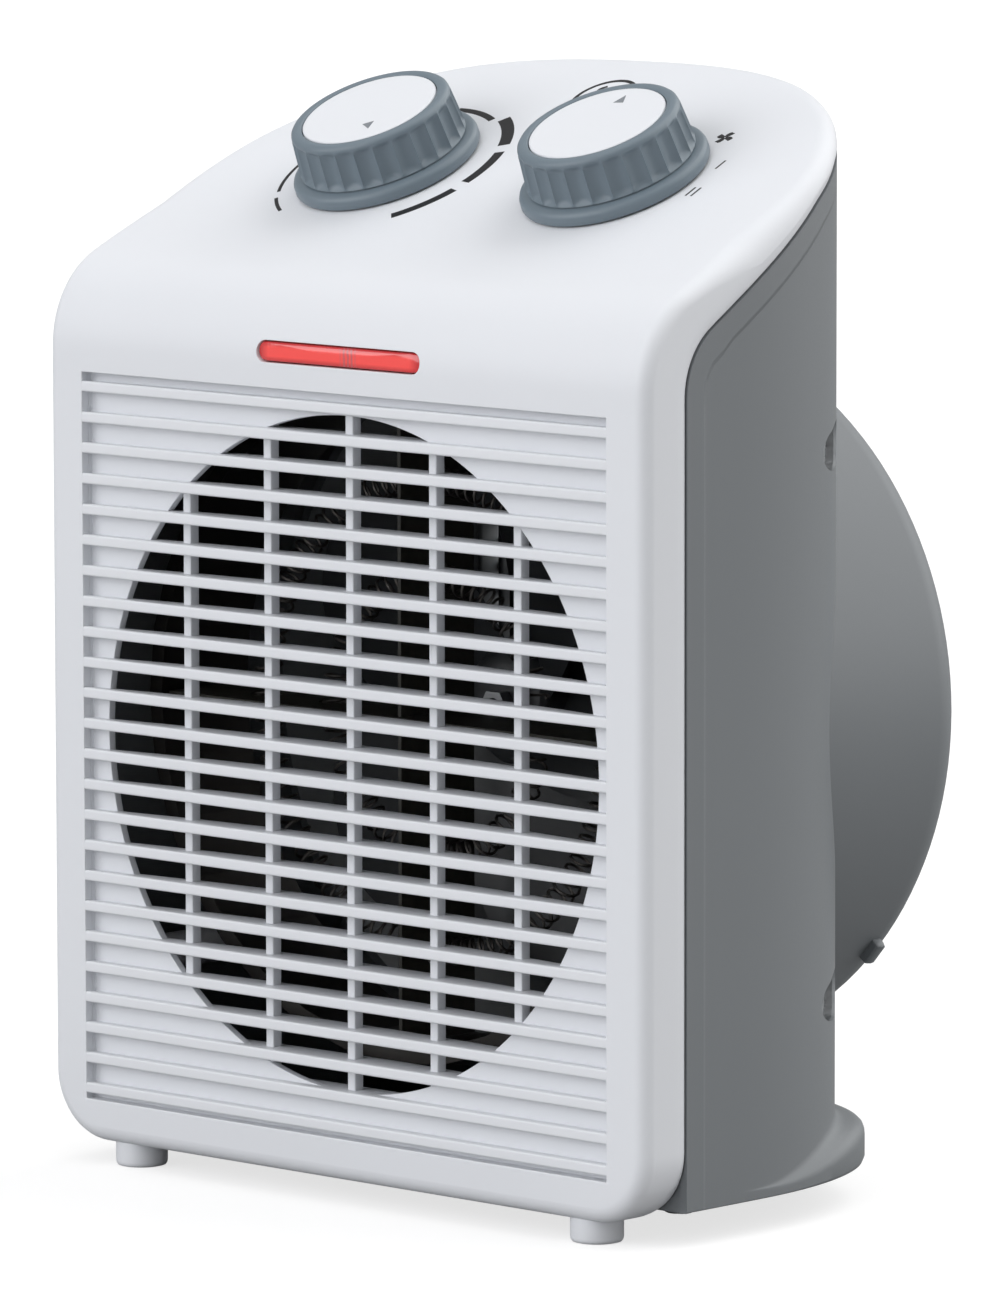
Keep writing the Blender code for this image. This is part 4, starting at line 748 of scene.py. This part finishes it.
def plan_depth(x):
    """Depth of the wall's outside at x, on the superellipse."""
    return STRAIGHT + (BACK - STRAIGHT) * (1 - (x / HALF_WIDTH) ** POWER) ** (1 / POWER)


def plan_half(depth):
    """Half of the width of the wall's outside at a depth, on the superellipse."""
    behind = np.clip((depth - STRAIGHT) / (BACK - STRAIGHT), 0, 1)
    return HALF_WIDTH * (1 - behind**POWER) ** (1 / POWER)


# Pocket liners run in from the wall to a floor, where a short tube stands for the screw's seat.
LINER_WALL, LINER_FLOOR = 1.4 * MM, 2 * MM
turn = np.linspace(0, 2 * np.pi, 37)[:-1]
liners = []
for side, level in places:
    screw_hole = (side * (POST_X + 1.7 * MM * np.cos(turn)), level + 1.7 * MM * np.sin(turn))
    inner, outer = drop_outline(level, side), drop_outline(level, side, LINER_WALL)
    mouth = []
    for x, z in (inner, outer):
        depth = plan_depth(np.minimum(np.abs(x), 91 * MM)) - 1.0 * MM
        depth = np.maximum(depth, POCKET_FLOOR - 1.9 * MM)
        mouth.append(xyz(side * np.minimum(np.abs(x), plan_half(depth) - 0.6 * MM), depth, z))
    rings = [xyz(screw_hole[0], POCKET_FLOOR, screw_hole[1]), xyz(inner[0], POCKET_FLOOR, inner[1])]
    rings += mouth
    for x, z in (outer, screw_hole):
        rings.append(xyz(x, POCKET_FLOOR - LINER_FLOOR, z))
    liners.append(grid(np.array(rings), around=True, along=True))
    seat = ((1.7, 67.9), (3.4, 67.9), (3.4, 60.0), (1.7, 60.0))
    liners.append(grid(ring_stack(seat, side * POST_X, level), around=True, along=True))
piece("housing_pockets", liners, grey, stands_for=["rear_housing"])

# ---------------------------------------------------------------- base plate
# A flat grey plate that closes the bottom of the housing, let in flush with its lower edge and held by
# four screws.

base_x, base_y = wall_plan(WALL + 0.25 * MM, BACK, POWER)
rings = []
for inset, level in ((0.4, 7.6), (0, 7.9), (0, 10), (3, 10)):
    shrink = 1 - inset * MM / HALF_WIDTH
    depth = np.maximum(base_y * shrink, RIM + 0.4 * MM + inset * MM)
    rings.append(xyz(base_x * shrink, depth, level * MM))
middle = xyz(base_x * 0, rings[0][:, 1] - FRONT, 7.6 * MM)
ceiling = xyz(base_x * 0, rings[-1][:, 1] - FRONT, 10 * MM)
plate = both(np.array([middle, *rings, ceiling]))
ends = np.array([plate[:, 0], plate[:, -1]])


def block(low, high):
    """A box between two corners given as (x, depth, z) in millimetres."""
    (x0, y0, z0), (x1, y1, z1) = low, high
    rings = []
    for depth in (y0, y0, y1, y1):
        rings.append(xyz(np.array([x0, x1, x1, x0]) * MM, depth * MM, np.array([z0, z0, z1, z1]) * MM))
    rings[0] = rings[0] * 0 + rings[0].mean(0)
    rings[3] = rings[3] * 0 + rings[3].mean(0)
    return grid(np.array(rings), around=True)


# A web along its front edge closes the corners behind the cover's rounded ones.
web = [block((-93.1, 13.9, 7.8), (93.1, 15.7, 11.5))]
web += [block((76, 14.0, 8.2), (93.0, 15.6, 27)), block((-93.0, 14.0, 8.2), (-76, 15.6, 27))]
piece("base_cover", [grid(plate), grid(ends), *web], grey, stands_for=["base_plate"], sharp=30)

# ---------------------------------------------------------------- fan drum
# The round grey shroud behind the fan, with the air intake in its back: level bars on three uprights,
# and a plain disc in the middle that carries the motor. Deep thin fins behind the bars hide the fan.

DRUM_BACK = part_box("rear_grille")[1].y - FRONT
INTAKE, BAR_REACH, BAR_PITCH, FIN_PITCH = 70, 70.7 * MM, 5.6 * MM, 6.9 * MM

swing = np.radians(np.linspace(90, 0, 13))
radius_mm, back_mm = DRUM_RADIUS / MM, DRUM_BACK / MM
profile = [(INTAKE, back_mm - 2.2), (INTAKE, back_mm - 0.4), (INTAKE + 0.4, back_mm)]
profile += [(radius_mm - 11 + 11 * math.cos(a), back_mm - 11 + 11 * math.sin(a)) for a in swing]
profile += [(radius_mm, 66), (radius_mm - 2.2, 66)]
profile += [(radius_mm - 11 + 8.8 * math.cos(a), back_mm - 11 + 8.8 * math.sin(a)) for a in swing[::-1]]
shroud = grid(ring_stack(profile, 0, DRUM_LEVEL, 128), around=True, along=True)
piece("fan_drum", [shroud], grey, stands_for=["rear_grille"])


def rounded(size, power):
    """A rounded block's outline: size times the cosine and the sine of the turn, each to a power."""
    turn = np.linspace(0, 2 * np.pi, 13)[:-1]
    sides = [np.sign(wave) * np.abs(wave) ** p for wave, p in zip((np.cos(turn), np.sin(turn)), power)]
    return size[0] * MM * sides[0], size[1] * MM * sides[1]


bars = []
for i in range(-12, 13):
    z = i * BAR_PITCH
    reach = math.sqrt(BAR_REACH**2 - z**2)
    deep, high = rounded((0.9, 1.35), (0.6, 0.6))
    ends = np.array([-reach, reach])[:, None]
    bars.append(grid(xyz(ends, DRUM_BACK - 1.3 * MM + deep, DRUM_LEVEL + z + high), around=True))
for i in range(-10, 11):
    x = i * FIN_PITCH
    wide = 1.9 if i in (-5, 0, 5) else 0.7
    reach = math.sqrt(BAR_REACH**2 - x**2)
    deep, across = rounded((3.6, wide), (0.5, 0.6))
    ends = np.array([-reach, reach])[:, None] + DRUM_LEVEL
    bars.append(grid(xyz(x + across, DRUM_BACK - 5.0 * MM + deep, ends), around=True))
hub_disc = [(0, 116.5), (30, 116.5), (30, 119.0), (29.4, 119.6), (26, 119.75), (24.5, 119.3), (0, 119.3)]
bars.append(grid(ring_stack(hub_disc, 0, DRUM_LEVEL, 96), around=True))
motor_x = abs(middle_of("motor_screw_left").x)
for side in (-1, 1):
    seat = ((1.7, 105.8), (4.5, 105.8), (4.5, 117.5), (1.7, 117.5))
    bars.append(grid(ring_stack(seat, side * motor_x, DRUM_LEVEL, 32), around=True, along=True))
intake = piece("intake_bars", bars, grey, stands_for=["rear_grille"])
intake.data.set_sharp_from_angle(angle=math.radians(60))

# The latch's section as (radius, share of its depth), carried along the drum's edge and drawn in at
# both ends.
LATCH_TURN, LATCH_HALF_DEPTH, LATCH_ROOT = math.radians(41), 1.6 * MM, 83.0
section = [(83.0, 1.0), (86.2, 1.0), (86.9, 0.8), (87.1, 0.0), (86.9, -0.8), (86.2, -1.0), (83.0, -1.0)]
section = np.array(section)
rings = []
for along, tall, deep in ((-3.0, 0.9, 0.8), (-2.6, 1, 1), (2.6, 1, 1), (3.0, 0.9, 0.8)):
    radial = (LATCH_ROOT + (section[:, 0] - LATCH_ROOT) * tall) * MM
    depth = middle_of("grille_latch").y - FRONT + section[:, 1] * LATCH_HALF_DEPTH * deep
    x = radial * math.cos(LATCH_TURN) - along * MM * math.sin(LATCH_TURN)
    z = DRUM_LEVEL - radial * math.sin(LATCH_TURN) - along * MM * math.cos(LATCH_TURN)
    rings.append(xyz(x, depth, z))
rings = [rings[0] * 0 + rings[0].mean(0)] + rings + [rings[-1] * 0 + rings[-1].mean(0)]
piece("drum_latch", [grid(np.array(rings), around=True)], grey, stands_for=["grille_latch"])

# ---------------------------------------------------------------- feet
# White stub feet moulded for the front cover, and black rubber ones pressed into the base at the back.

# Nitrile rubber: black and matt, with a coarse grain from its mould.
rubber = moulded("black_rubber", "#1B1B1C", 0.75, 0.6 * MM, 0.03 * MM)


turn = np.linspace(0, 2 * np.pi, 65)[:-1]
for side in ("left", "right"):
    for end, finish, ground in (("front", white, 5.7), ("rear", rubber, 7.6)):
        profile = [(0, 0), (5.0, 0), (5.6, 0.15), (5.9, 0.6), (6.0, 1.2), (6.0, ground - 0.5)]
        profile += [(5.9, ground), (2.4, ground), (2.4, ground + 3), (0, ground + 3)]
        radius, level = np.array(profile).T[:, :, None] * MM
        middle = middle_of(f"{end}_foot_{side}")
        x, y = middle.x + radius * np.cos(turn), middle.y + radius * np.sin(turn)
        stub = grid(np.stack(np.broadcast_arrays(x, y, level), -1), around=True)
        piece(f"{end}_stub_{side}", [stub], finish, stands_for=[f"{end}_foot_{side}"])

# ---------------------------------------------------------------- knobs
# Grey ABS knobs on steel shafts: a flared skirt, a groove, a fluted grip and a plain rounded shoulder.
# A thin white cap is let into the top. Its small printed triangle is the pointer.

FLUTES = 26
# ABS: a blue-grey moulding, a little glossier than the housing from handling.
knob_grey = moulded("knob_abs", "#6D7A83", 0.4, 0.4 * MM, 0.01 * MM)
# Pad-printing ink: a thin matt black film with a faint speckle.
ink = bpy.data.materials.new("pad_print_ink")
ink.use_nodes = True
tree = ink.node_tree
place = node(tree, "ShaderNodeTexCoord")
speckle = node(tree, "ShaderNodeTexNoise", [("Vector", place, "Object")], Scale=3000, Detail=2)
tone = node(tree, "ShaderNodeMix", [("Factor", speckle, "Fac")], data_type="RGBA")
tone.inputs["A"].default_value = linear("#0C0C0E") + [1]
tone.inputs["B"].default_value = linear("#17171A") + [1]
tree.links.new(tone.outputs["Result"], tree.nodes["Principled BSDF"].inputs["Base Color"])
tree.nodes["Principled BSDF"].inputs["Roughness"].default_value = 0.5
pointer_ink = moulded("pointer_print", "#7E8388", 0.5, 0.4 * MM, 0.004 * MM)

uphill = np.array([0, math.cos(TILT), math.sin(TILT)])
outward = np.array([0, -math.sin(TILT), math.cos(TILT)])
right_way = np.array([1.0, 0, 0])
KNOB_X = 35.6 * MM


def clock(degrees):
    """Across and up the slope for a turn clockwise from uphill."""
    angle = math.radians(degrees)
    return np.array([math.sin(angle), math.cos(angle)])


def on_panel(centre, across, up, lift):
    """A point across, up the slope and above the control panel, from a knob's foot."""
    foot_point = np.array([centre, FRONT + PANEL_AT[0], PANEL_AT[1]])
    across, up, lift = (v[..., None] for v in np.broadcast_arrays(across, up, lift))
    return foot_point + across * right_way + up * uphill + lift * outward


# Profile: radius, height, depth of the flutes there, all in millimetres.
knob_profile = [(15.9, 13.6, 0), (16.3, 13.65, 0), (16.35, 14.65, 0), (16.6, 14.9, 0)]
knob_profile += [(17.7, 14.95, 0), (18.5, 14.7, 0), (18.95, 14.2, 0), (19.1, 13.7, 0)]
knob_profile += [(19.2, 13.3, 0.3), (19.25, 12.8, 0.9), (19.3, 12.1, 1.15), (19.55, 9.1, 1.2)]
knob_profile += [(19.8, 5.8, 1.2), (19.9, 5.0, 1.0), (19.95, 4.5, 0.45), (19.9, 4.15, 0)]
knob_profile += [(19.55, 3.95, 0), (19.6, 3.75, 0), (20.4, 3.65, 0), (21.4, 3.4, 0)]
knob_profile += [(21.95, 3.0, 0), (22.25, 2.3, 0), (22.3, 0.9, 0), (22.1, 0.5, 0), (21.0, 0.5, 0)]
knob_profile += [(20.0, 1.5, 0), (17.6, 3.0, 0), (16.8, 12.1, 0), (5.0, 12.1, 0), (5.0, 5.5, 0)]
knob_profile += [(3.15, 5.5, 0), (3.15, 12.3, 0), (0, 12.3, 0)]
knob_profile = np.array(knob_profile)
cap_profile = [(0, 13.8), (16.1, 13.8), (16.1, 14.6), (15.9, 14.82), (15.4, 14.9), (8, 14.94), (0, 14.95)]
cap_profile = np.array(cap_profile) * MM
turn = np.linspace(0, 2 * np.pi, FLUTES * 20 + 1)[:-1]
phase = (turn * FLUTES / (2 * np.pi)) % 1
# A flute is a wide shallow hollow; the ridge between two flutes is a narrow rounded bead.
hollow = np.sin(np.pi * phase) ** 0.75
cap_turn = np.linspace(0, 2 * np.pi, 97)[:-1]
for name, side, pointer, reach in (("thermostat", -1, 140, 9.6), ("selector", 1, -6, 10.6)):
    centre = side * KNOB_X
    radius = (knob_profile[:, :1] - knob_profile[:, 2:] * hollow) * MM
    knob = on_panel(centre, radius * np.sin(turn), radius * np.cos(turn), knob_profile[:, 1:2] * MM)
    piece(f"{name}_grip", [grid(knob, around=True)], knob_grey, name, [f"{name}_knob"], sharp=45)
    radius = cap_profile[:, :1]
    cap = on_panel(centre, radius * np.sin(cap_turn), radius * np.cos(cap_turn), cap_profile[:, 1:])
    piece(f"{name}_disc", [grid(cap, around=True)], white, name, [f"{name}_cap"])
    # Pointer: a triangle 3.4 mm long that points outwards, just proud of the cap.
    ahead, beside = clock(pointer), clock(pointer + 90)
    tail = ahead * (reach - 1.5)
    shape = np.array([ahead * (reach + 1.9), tail + beside * 1.4, tail - beside * 1.4]) * MM
    layers = [on_panel(centre, shape[:, 0], shape[:, 1], h * MM) for h in (14.8, 14.975)]
    layers = [layers[0] * 0 + layers[0].mean(0), *layers, layers[1] * 0 + layers[1].mean(0)]
    piece(f"{name}_pointer", [grid(np.array(layers), around=True)], pointer_ink, name)

# ---------------------------------------------------------------- printed scale
# Black pad printing on the control panel: a ring of strokes that swells with the heat beside the
# thermostat, the selector's signs, and a plain ring with three heat waves between them.

PRINT_LIFT = (-0.2 * MM, 0.035 * MM)


def printed(outline_across, outline_up, centre):
    """A closed strip of ink from two rows of points on the panel."""
    low, high = (on_panel(centre, outline_across, outline_up, lift) for lift in PRINT_LIFT)
    rows = np.array([low[0], high[0], high[1], low[1]])
    caps = [np.array([rows[:2, i], rows[3:1:-1, i]]) for i in (0, -1)]
    return [grid(rows, along=True)] + [grid(c) for c in caps]


def arc_strip(start, end, inner, outer, centre, across=0.0, up=0.0, steps=24):
    """A stroke between two radii, from one turn clockwise to another, about a point on the panel."""
    turn = np.radians(np.linspace(start, end, steps + 1))
    radii = np.array([[inner], [outer]]) * MM
    return printed(across * MM + radii * np.sin(turn), up * MM + radii * np.cos(turn), centre)


def stroke(points, width, centre):
    """A strip of even width along a line of points, square to it at each."""
    points = np.array(points, float) * MM
    ahead = np.gradient(points, axis=0)
    ahead /= np.linalg.norm(ahead, axis=1)[:, None]
    beside = np.stack([-ahead[:, 1], ahead[:, 0]], 1) * width * MM / 2
    rows = np.array([points + beside, points - beside])
    return printed(rows[..., 0], rows[..., 1], centre)


print_sheets = []
for start, end, inner, outer in (
    (-147, -130, 26.8, 27.7),
    (-123, -94, 26.5, 27.4),
    (-87, -55, 26.2, 27.2),
    (-48, -10, 25.8, 27.0),
    (-1, 30, 25.6, 27.3),
    (35, 65, 27.2, 30.3),
    (72, 100, 27.6, 30.2),
    (107, 138, 28.0, 30.5),
):
    print_sheets += arc_strip(start, end, inner, outer, -KNOB_X)
# Off: a dot. Fan only: four curved blades. Half and full heat: one and two strokes.
print_sheets += arc_strip(0, 359.9, 0.05, 0.85, KNOB_X, -0.1, 25.5)
fan_at = clock(36) * 26.4
along = np.array([0.2, 1.0, 1.8, 2.4])[:, None]
for quarter_turn in (20, 110, 200, 290):
    ahead, beside = clock(quarter_turn), clock(quarter_turn + 90)
    straight_edge = fan_at + ahead * along + beside * (0.35 + 0.12 * along)
    round_edge = fan_at + ahead * along - beside * (0.25 + 0.5 * along * (2.9 - along) / 1.4)
    rows = np.array([straight_edge, round_edge]) * MM
    print_sheets += printed(rows[..., 0], rows[..., 1], KNOB_X)
for degrees, offsets in ((68, (0,)), (96, (-0.8, 0.8))):
    at = clock(degrees) * 25.6
    for offset in offsets:
        print_sheets += stroke([at + [offset, climb] for climb in (-1.9, 0, 1.9)], 0.5, KNOB_X)
WAVES_AT = (1.6, 35.9)
for half_turn in (0, 180):
    print_sheets += arc_strip(half_turn, half_turn + 180, 7.3, 8.3, 0, *WAVES_AT, 48)
for across in (-3.0, 0, 3.0):
    climb = np.linspace(-3.9, 4.9, 21)
    wave = np.stack([WAVES_AT[0] + across + 0.8 * np.sin(climb * 1.42), WAVES_AT[1] + climb], 1)
    print_sheets += stroke(wave, 0.9, 0)
piece("panel_print", print_sheets, ink)

# ---------------------------------------------------------------- heating element
# Two helices of resistance wire hang in the air stream on crossed mica boards, inside a tinned steel
# ring. A thermal cut-out sits on the level board.


def plain(name, colour, roughness, metallic, scale, contrast, depth=0.0, stretch=(1, 1, 1)):
    """A metal or board whose colour and gloss vary with one noise: scale per metre, stretched along an
    axis for a drawn or rolled surface."""
    made = bpy.data.materials.new(name)
    made.use_nodes = True
    tree = made.node_tree
    shader = tree.nodes["Principled BSDF"]
    place = node(tree, "ShaderNodeTexCoord")
    spread = node(tree, "ShaderNodeMapping", [("Vector", place, "Object")])
    spread.inputs["Scale"].default_value = stretch
    noise = node(tree, "ShaderNodeTexNoise", [("Vector", spread, "Vector")], Scale=scale, Detail=4)
    tone = node(tree, "ShaderNodeMix", [("Factor", noise, "Fac")], data_type="RGBA")
    tone.inputs["A"].default_value = [c * (1 - contrast) for c in linear(colour)] + [1]
    tone.inputs["B"].default_value = [min(1, c * (1 + contrast)) for c in linear(colour)] + [1]
    tree.links.new(tone.outputs["Result"], shader.inputs["Base Color"])
    limits = {"To_Min": roughness * 0.8, "To_Max": roughness * 1.2}
    gloss = node(tree, "ShaderNodeMapRange", [("Value", noise, "Fac")], **limits)
    tree.links.new(gloss.outputs["Result"], shader.inputs["Roughness"])
    shader.inputs["Metallic"].default_value = metallic
    if depth:
        bump = node(tree, "ShaderNodeBump", [("Height", noise, "Fac")], Strength=0.6, Distance=depth)
        tree.links.new(bump.outputs["Normal"], shader.inputs["Normal"])
    return made


def dress(material, *names):
    """Gives CAD nodes their finish."""
    for name in names:
        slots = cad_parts[name].material_slots
        for i in range(len(slots)):
            slots[i].material = material


# Nichrome: oxidised grey-brown wire with a dull metal sheen.
nichrome = plain("oxidised_nichrome", "#6E6A66", 0.45, 1.0, 900, 0.35)
# Mica board: grey-green flakes pressed flat, with specks of pearl.
mica = plain("mica_board", "#3B3A33", 0.5, 0.0, 700, 0.5, 0.05 * MM, (1, 1, 0.6))
# Zinc-plated steel: cool, bright and slightly cloudy.
zinc = plain("zinc_plated_steel", "#B9BBBC", 0.32, 1.0, 260, 0.18)
# Tinned steel ring: darkened by heat towards straw and grey.
heated_steel = plain("heat_dulled_steel", "#4A4846", 0.5, 1.0, 90, 0.3)
dress(mica, "mica_board_level", "mica_board_upright")
dress(heated_steel, "element_ring", "thermal_cutout")
dress(nichrome, "thermal_fuse")

HELIX, WIRE, WIRE_SIDES = 2.9 * MM, 0.36 * MM, 6
for name, turns in (("inner", 62), ("outer", 112)):
    low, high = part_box(f"heating_coil_{name}")
    ring_radius = (high.z - low.z) / 2 - 3.4 * MM
    opening = 6.4 * MM / ring_radius
    steps = turns * 14
    sweep = np.linspace(opening, 2 * np.pi - opening, steps)
    wind = np.linspace(0, 2 * np.pi * turns, steps)
    # Centre line of the wire: a helix wound round a ring. The wire is a small circle swept along it.
    radial = ring_radius + HELIX * np.cos(wind)
    line = np.stack([radial * np.cos(sweep), HELIX * np.sin(wind), radial * np.sin(sweep)], 1)
    ahead = unit(np.gradient(line, axis=0))
    ring_way = np.stack([np.cos(sweep), 0 * sweep, np.sin(sweep)], 1)
    out = np.cos(wind)[:, None] * ring_way + np.sin(wind)[:, None] * np.array([0, 1.0, 0])
    across = np.cross(ahead, out)
    turn = np.linspace(0, 2 * np.pi, WIRE_SIDES + 1)[:-1, None]
    tube = line[:, None] + WIRE * (out[:, None] * np.cos(turn) + across[:, None] * np.sin(turn))
    tube += np.array([0, (low.y + high.y) / 2, DRUM_LEVEL])
    ends = [np.broadcast_to(tube[i].mean(0), tube[i].shape)[None] for i in (0, -1)]
    tube = np.concatenate([ends[0], tube, ends[1]])
    piece(f"coil_{name}", [grid(tube, around=True)], nichrome, stands_for=[f"heating_coil_{name}"])

# ---------------------------------------------------------------- fan
# A five-blade impeller moulded in dark grey plastic, pressed on the motor shaft and held by a nut. The
# blades are thin, twisted and rounded at their tips.

# Glass-filled nylon: dark grey, with a satin skin.
fan_plastic = moulded("fan_plastic", "#3A3C3E", 0.38, 0.5 * MM, 0.012 * MM)
low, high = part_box("fan_impeller")
FAN_RADIUS = (high.x - low.x + high.z - low.z) / 4
FAN_MIDDLE, ROOT, BLADES = 62 * MM, 12 * MM, 5
share = np.linspace(0, 1, 19)[:, None]
along = np.linspace(-0.5, 0.5, 17)[None, :]
radius = ROOT + (0.975 * FAN_RADIUS - ROOT) * share
pitch = np.radians(42 - 18 * share)
tip_round = 1 - 0.45 * np.clip((share - 0.72) / 0.28, 0, 1) ** 2.2
chord = (26 + 36 * np.sin(np.pi * (0.15 + 0.5 * share))) * MM * tip_round
camber = 1.6 * MM * (1 - (2 * along) ** 2)
lean = along * chord * np.cos(pitch) / radius + 0.25 * share
fan_depth = FAN_MIDDLE + along * chord * np.sin(pitch) * 0.62 - camber
half_thick = 0.65 * MM * np.clip(1 - (2 * np.abs(along)) ** 6, 0.12, 1) * np.clip(1.2 - 0.5 * share, 0, 1)
blades = []
for i in range(BLADES):
    spin = lean + 2 * np.pi * i / BLADES
    x, z = radius * np.cos(spin), DRUM_LEVEL + radius * np.sin(spin)
    faces = [xyz(x, fan_depth + side * half_thick, z) for side in (-1, 1)]
    rims = [np.vstack([face[0], face[1:, -1], face[-1, -2::-1], face[-2:0:-1, 0]]) for face in faces]
    blades += [grid(faces[0]), grid(faces[1]), grid(np.array(rims), around=True)]
front_mm, back_mm = FAN_MIDDLE / MM - 8, FAN_MIDDLE / MM + 8
hub_profile = [(2.3, front_mm), (8.4, front_mm), (11.5, front_mm + 0.7), (13.4, front_mm + 2.4)]
hub_profile += [(14, front_mm + 4.4), (14, back_mm), (12.4, back_mm), (12.4, back_mm - 5), (2.3, back_mm - 5)]
blades.append(grid(ring_stack(hub_profile, 0, DRUM_LEVEL, 64), around=True, along=True))
piece("fan_blades", blades, fan_plastic, "fan", ["fan_impeller"])
dress(zinc, "motor_shaft", "fan_nut")

# ---------------------------------------------------------------- motor
# A shaded-pole motor behind the fan: a stack of steel laminations, one copper winding, and a bracket
# with a sintered bearing at each end.


def lined(material, spacing, direction, depth):
    """Fine parallel lines pressed into a material: the edges of sheets, or wire beside wire."""
    tree = material.node_tree
    place = node(tree, "ShaderNodeTexCoord")
    links = [("Vector", place, "Object")]
    lines = node(tree, "ShaderNodeTexWave", links, Scale=spacing, bands_direction=direction)
    bump = node(tree, "ShaderNodeBump", [("Height", lines, "Fac")], Strength=0.6, Distance=depth)
    tree.links.new(bump.outputs["Normal"], tree.nodes["Principled BSDF"].inputs["Normal"])
    return material


# Laminations: the edges of 0.5 mm sheets, drawn 1 mm apart so that they show across the stack.
laminated = lined(plain("electrical_steel", "#5B5B5C", 0.42, 1.0, 300, 0.2), 320, "Y", 0.1 * MM)
# Enamelled copper: amber-red varnish over turns of wire, drawn 0.5 mm apart.
copper = lined(plain("enamelled_copper", "#9A4A22", 0.28, 0.9, 240, 0.2), 640, "X", 0.15 * MM)
# Sintered bronze: dull, grainy and dark with oil.
bronze = plain("sintered_bronze", "#8A6A3C", 0.55, 1.0, 2500, 0.35, 0.03 * MM)
dress(laminated, "motor_stator", "motor_rotor")
dress(copper, "motor_winding")
dress(bronze, "motor_bearing_front", "motor_bearing_rear", "thermostat_bimetal")
dress(zinc, "motor_bracket_front", "motor_bracket_rear")

# ---------------------------------------------------------------- controls under the panel
# The thermostat and the heat selector: brown phenolic blocks with steel shafts, each held under the
# panel by a nut on its bush. The neon lamp sits in a black holder behind the red window.

# Phenolic: a hard brown moulding with a half gloss. Nylon: black and satin. The neon lamp's glass is
# tinted by its gas.
phenolic = plain("phenolic_moulding", "#2C1E16", 0.42, 0.0, 420, 0.3, 0.02 * MM)
nylon = moulded("dark_nylon", "#1D1E20", 0.45, 0.4 * MM, 0.012 * MM)
glass = plain("neon_glass", "#E8A27A", 0.08, 0.0, 120, 0.05)
glass.node_tree.nodes["Principled BSDF"].inputs["Transmission Weight"].default_value = 0.6
dress(phenolic, "thermostat_body", "selector_switch")
dress(zinc, "thermostat_shaft", "selector_shaft", "thermostat_nut", "selector_nut")
dress(nylon, "lamp_holder", "terminal_block")
dress(glass, "neon_lamp")

# ---------------------------------------------------------------- screws
# Pan-head self-tapping screws, zinc plated, with a cross recess. Four pull the cover on through the
# pockets, four hold the base and two long ones hold the motor.


HEAD, HEAD_TOP = 3.2, 2.2 * MM
head_profile = [(0.0, 2.1), (0.5, 2.1), (1.0, 2.08), (1.5, 2.02), (2.0, 1.9), (2.5, 1.65), (2.9, 1.25)]
head_profile += [(3.15, 0.7), (HEAD, 0.2), (HEAD, 0), (1.4, 0), (1.4, -3.0), (0, -3.0)]
stem_profile = [(0, -15), (0.7, -14), (1.45, -12.6), (1.45, -2.9), (0, -2.9)]


def about(profile, centre, out, sides):
    """A (radius, height) profile in millimetres, turned about a way out from a centre."""
    out, aside = np.array(out, float), np.array([1.0, 0, 0])
    turn = np.linspace(0, 2 * np.pi, sides + 1)[:-1, None]
    radius, height = (np.array(v)[..., None] * MM for v in profile)
    spokes = np.cos(turn) * aside + np.sin(turn) * np.cross(out, aside)
    return grid(np.array(centre) + radius * spokes + height * out, around=True)


def screw(name, centre, out, stretch, node_name):
    """A domed head with a cross recess, and a plain stem that stands for the thread. The cross sinks
    1.2 mm at the middle and runs out 1.9 mm from it, along four arms."""
    radius, height = np.array(head_profile).T[:, :, None]
    turn = np.linspace(0, 2 * np.pi, 65)[:-1]
    arm = np.minimum(np.abs(np.sin(turn)), np.abs(np.cos(turn))) * radius
    sink = 1.2 * np.clip(1 - radius / 1.9, 0, 1) ** 0.5 * (arm < 0.36)
    sink[7:] = 0
    head = about((radius, height - sink), centre, out, 64)
    radius, height = np.array(stem_profile).T[:, :, None] * [[[1]], [[stretch]]]
    piece(name, [head, about((radius, height), centre, out, 24)], zinc, stands_for=[node_name])


for i in range(1, 5):
    middle, back = middle_of(f"housing_screw_{i}"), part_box(f"housing_screw_{i}")[1].y
    at = (middle.x, back - HEAD_TOP, middle.z)
    screw(f"cover_screw_{i}", at, (0, 1, 0), 1, f"housing_screw_{i}")
    middle, low = middle_of(f"base_screw_{i}"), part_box(f"base_screw_{i}")[0].z
    screw(f"foot_screw_{i}", (middle.x, middle.y, low + HEAD_TOP), (0, 0, -1), 1.15, f"base_screw_{i}")
dress(zinc, "motor_screw_left", "motor_screw_right")

# ---------------------------------------------------------------- leads and bush
# Silicone-sleeved leads join the terminal block, the controls and the element. A black rubber bush in
# the back of the base is where the mains lead comes through.

# Silicone-varnished glass braid: off-white and soft, with a coarse grain for the braid.
sleeve = moulded("silicone_sleeve", "#C9C7C0", 0.5, 0.8 * MM, 0.03 * MM)
dress(sleeve, "supply_wire", "control_wire", "element_wire")
dress(rubber, "cord_gland")
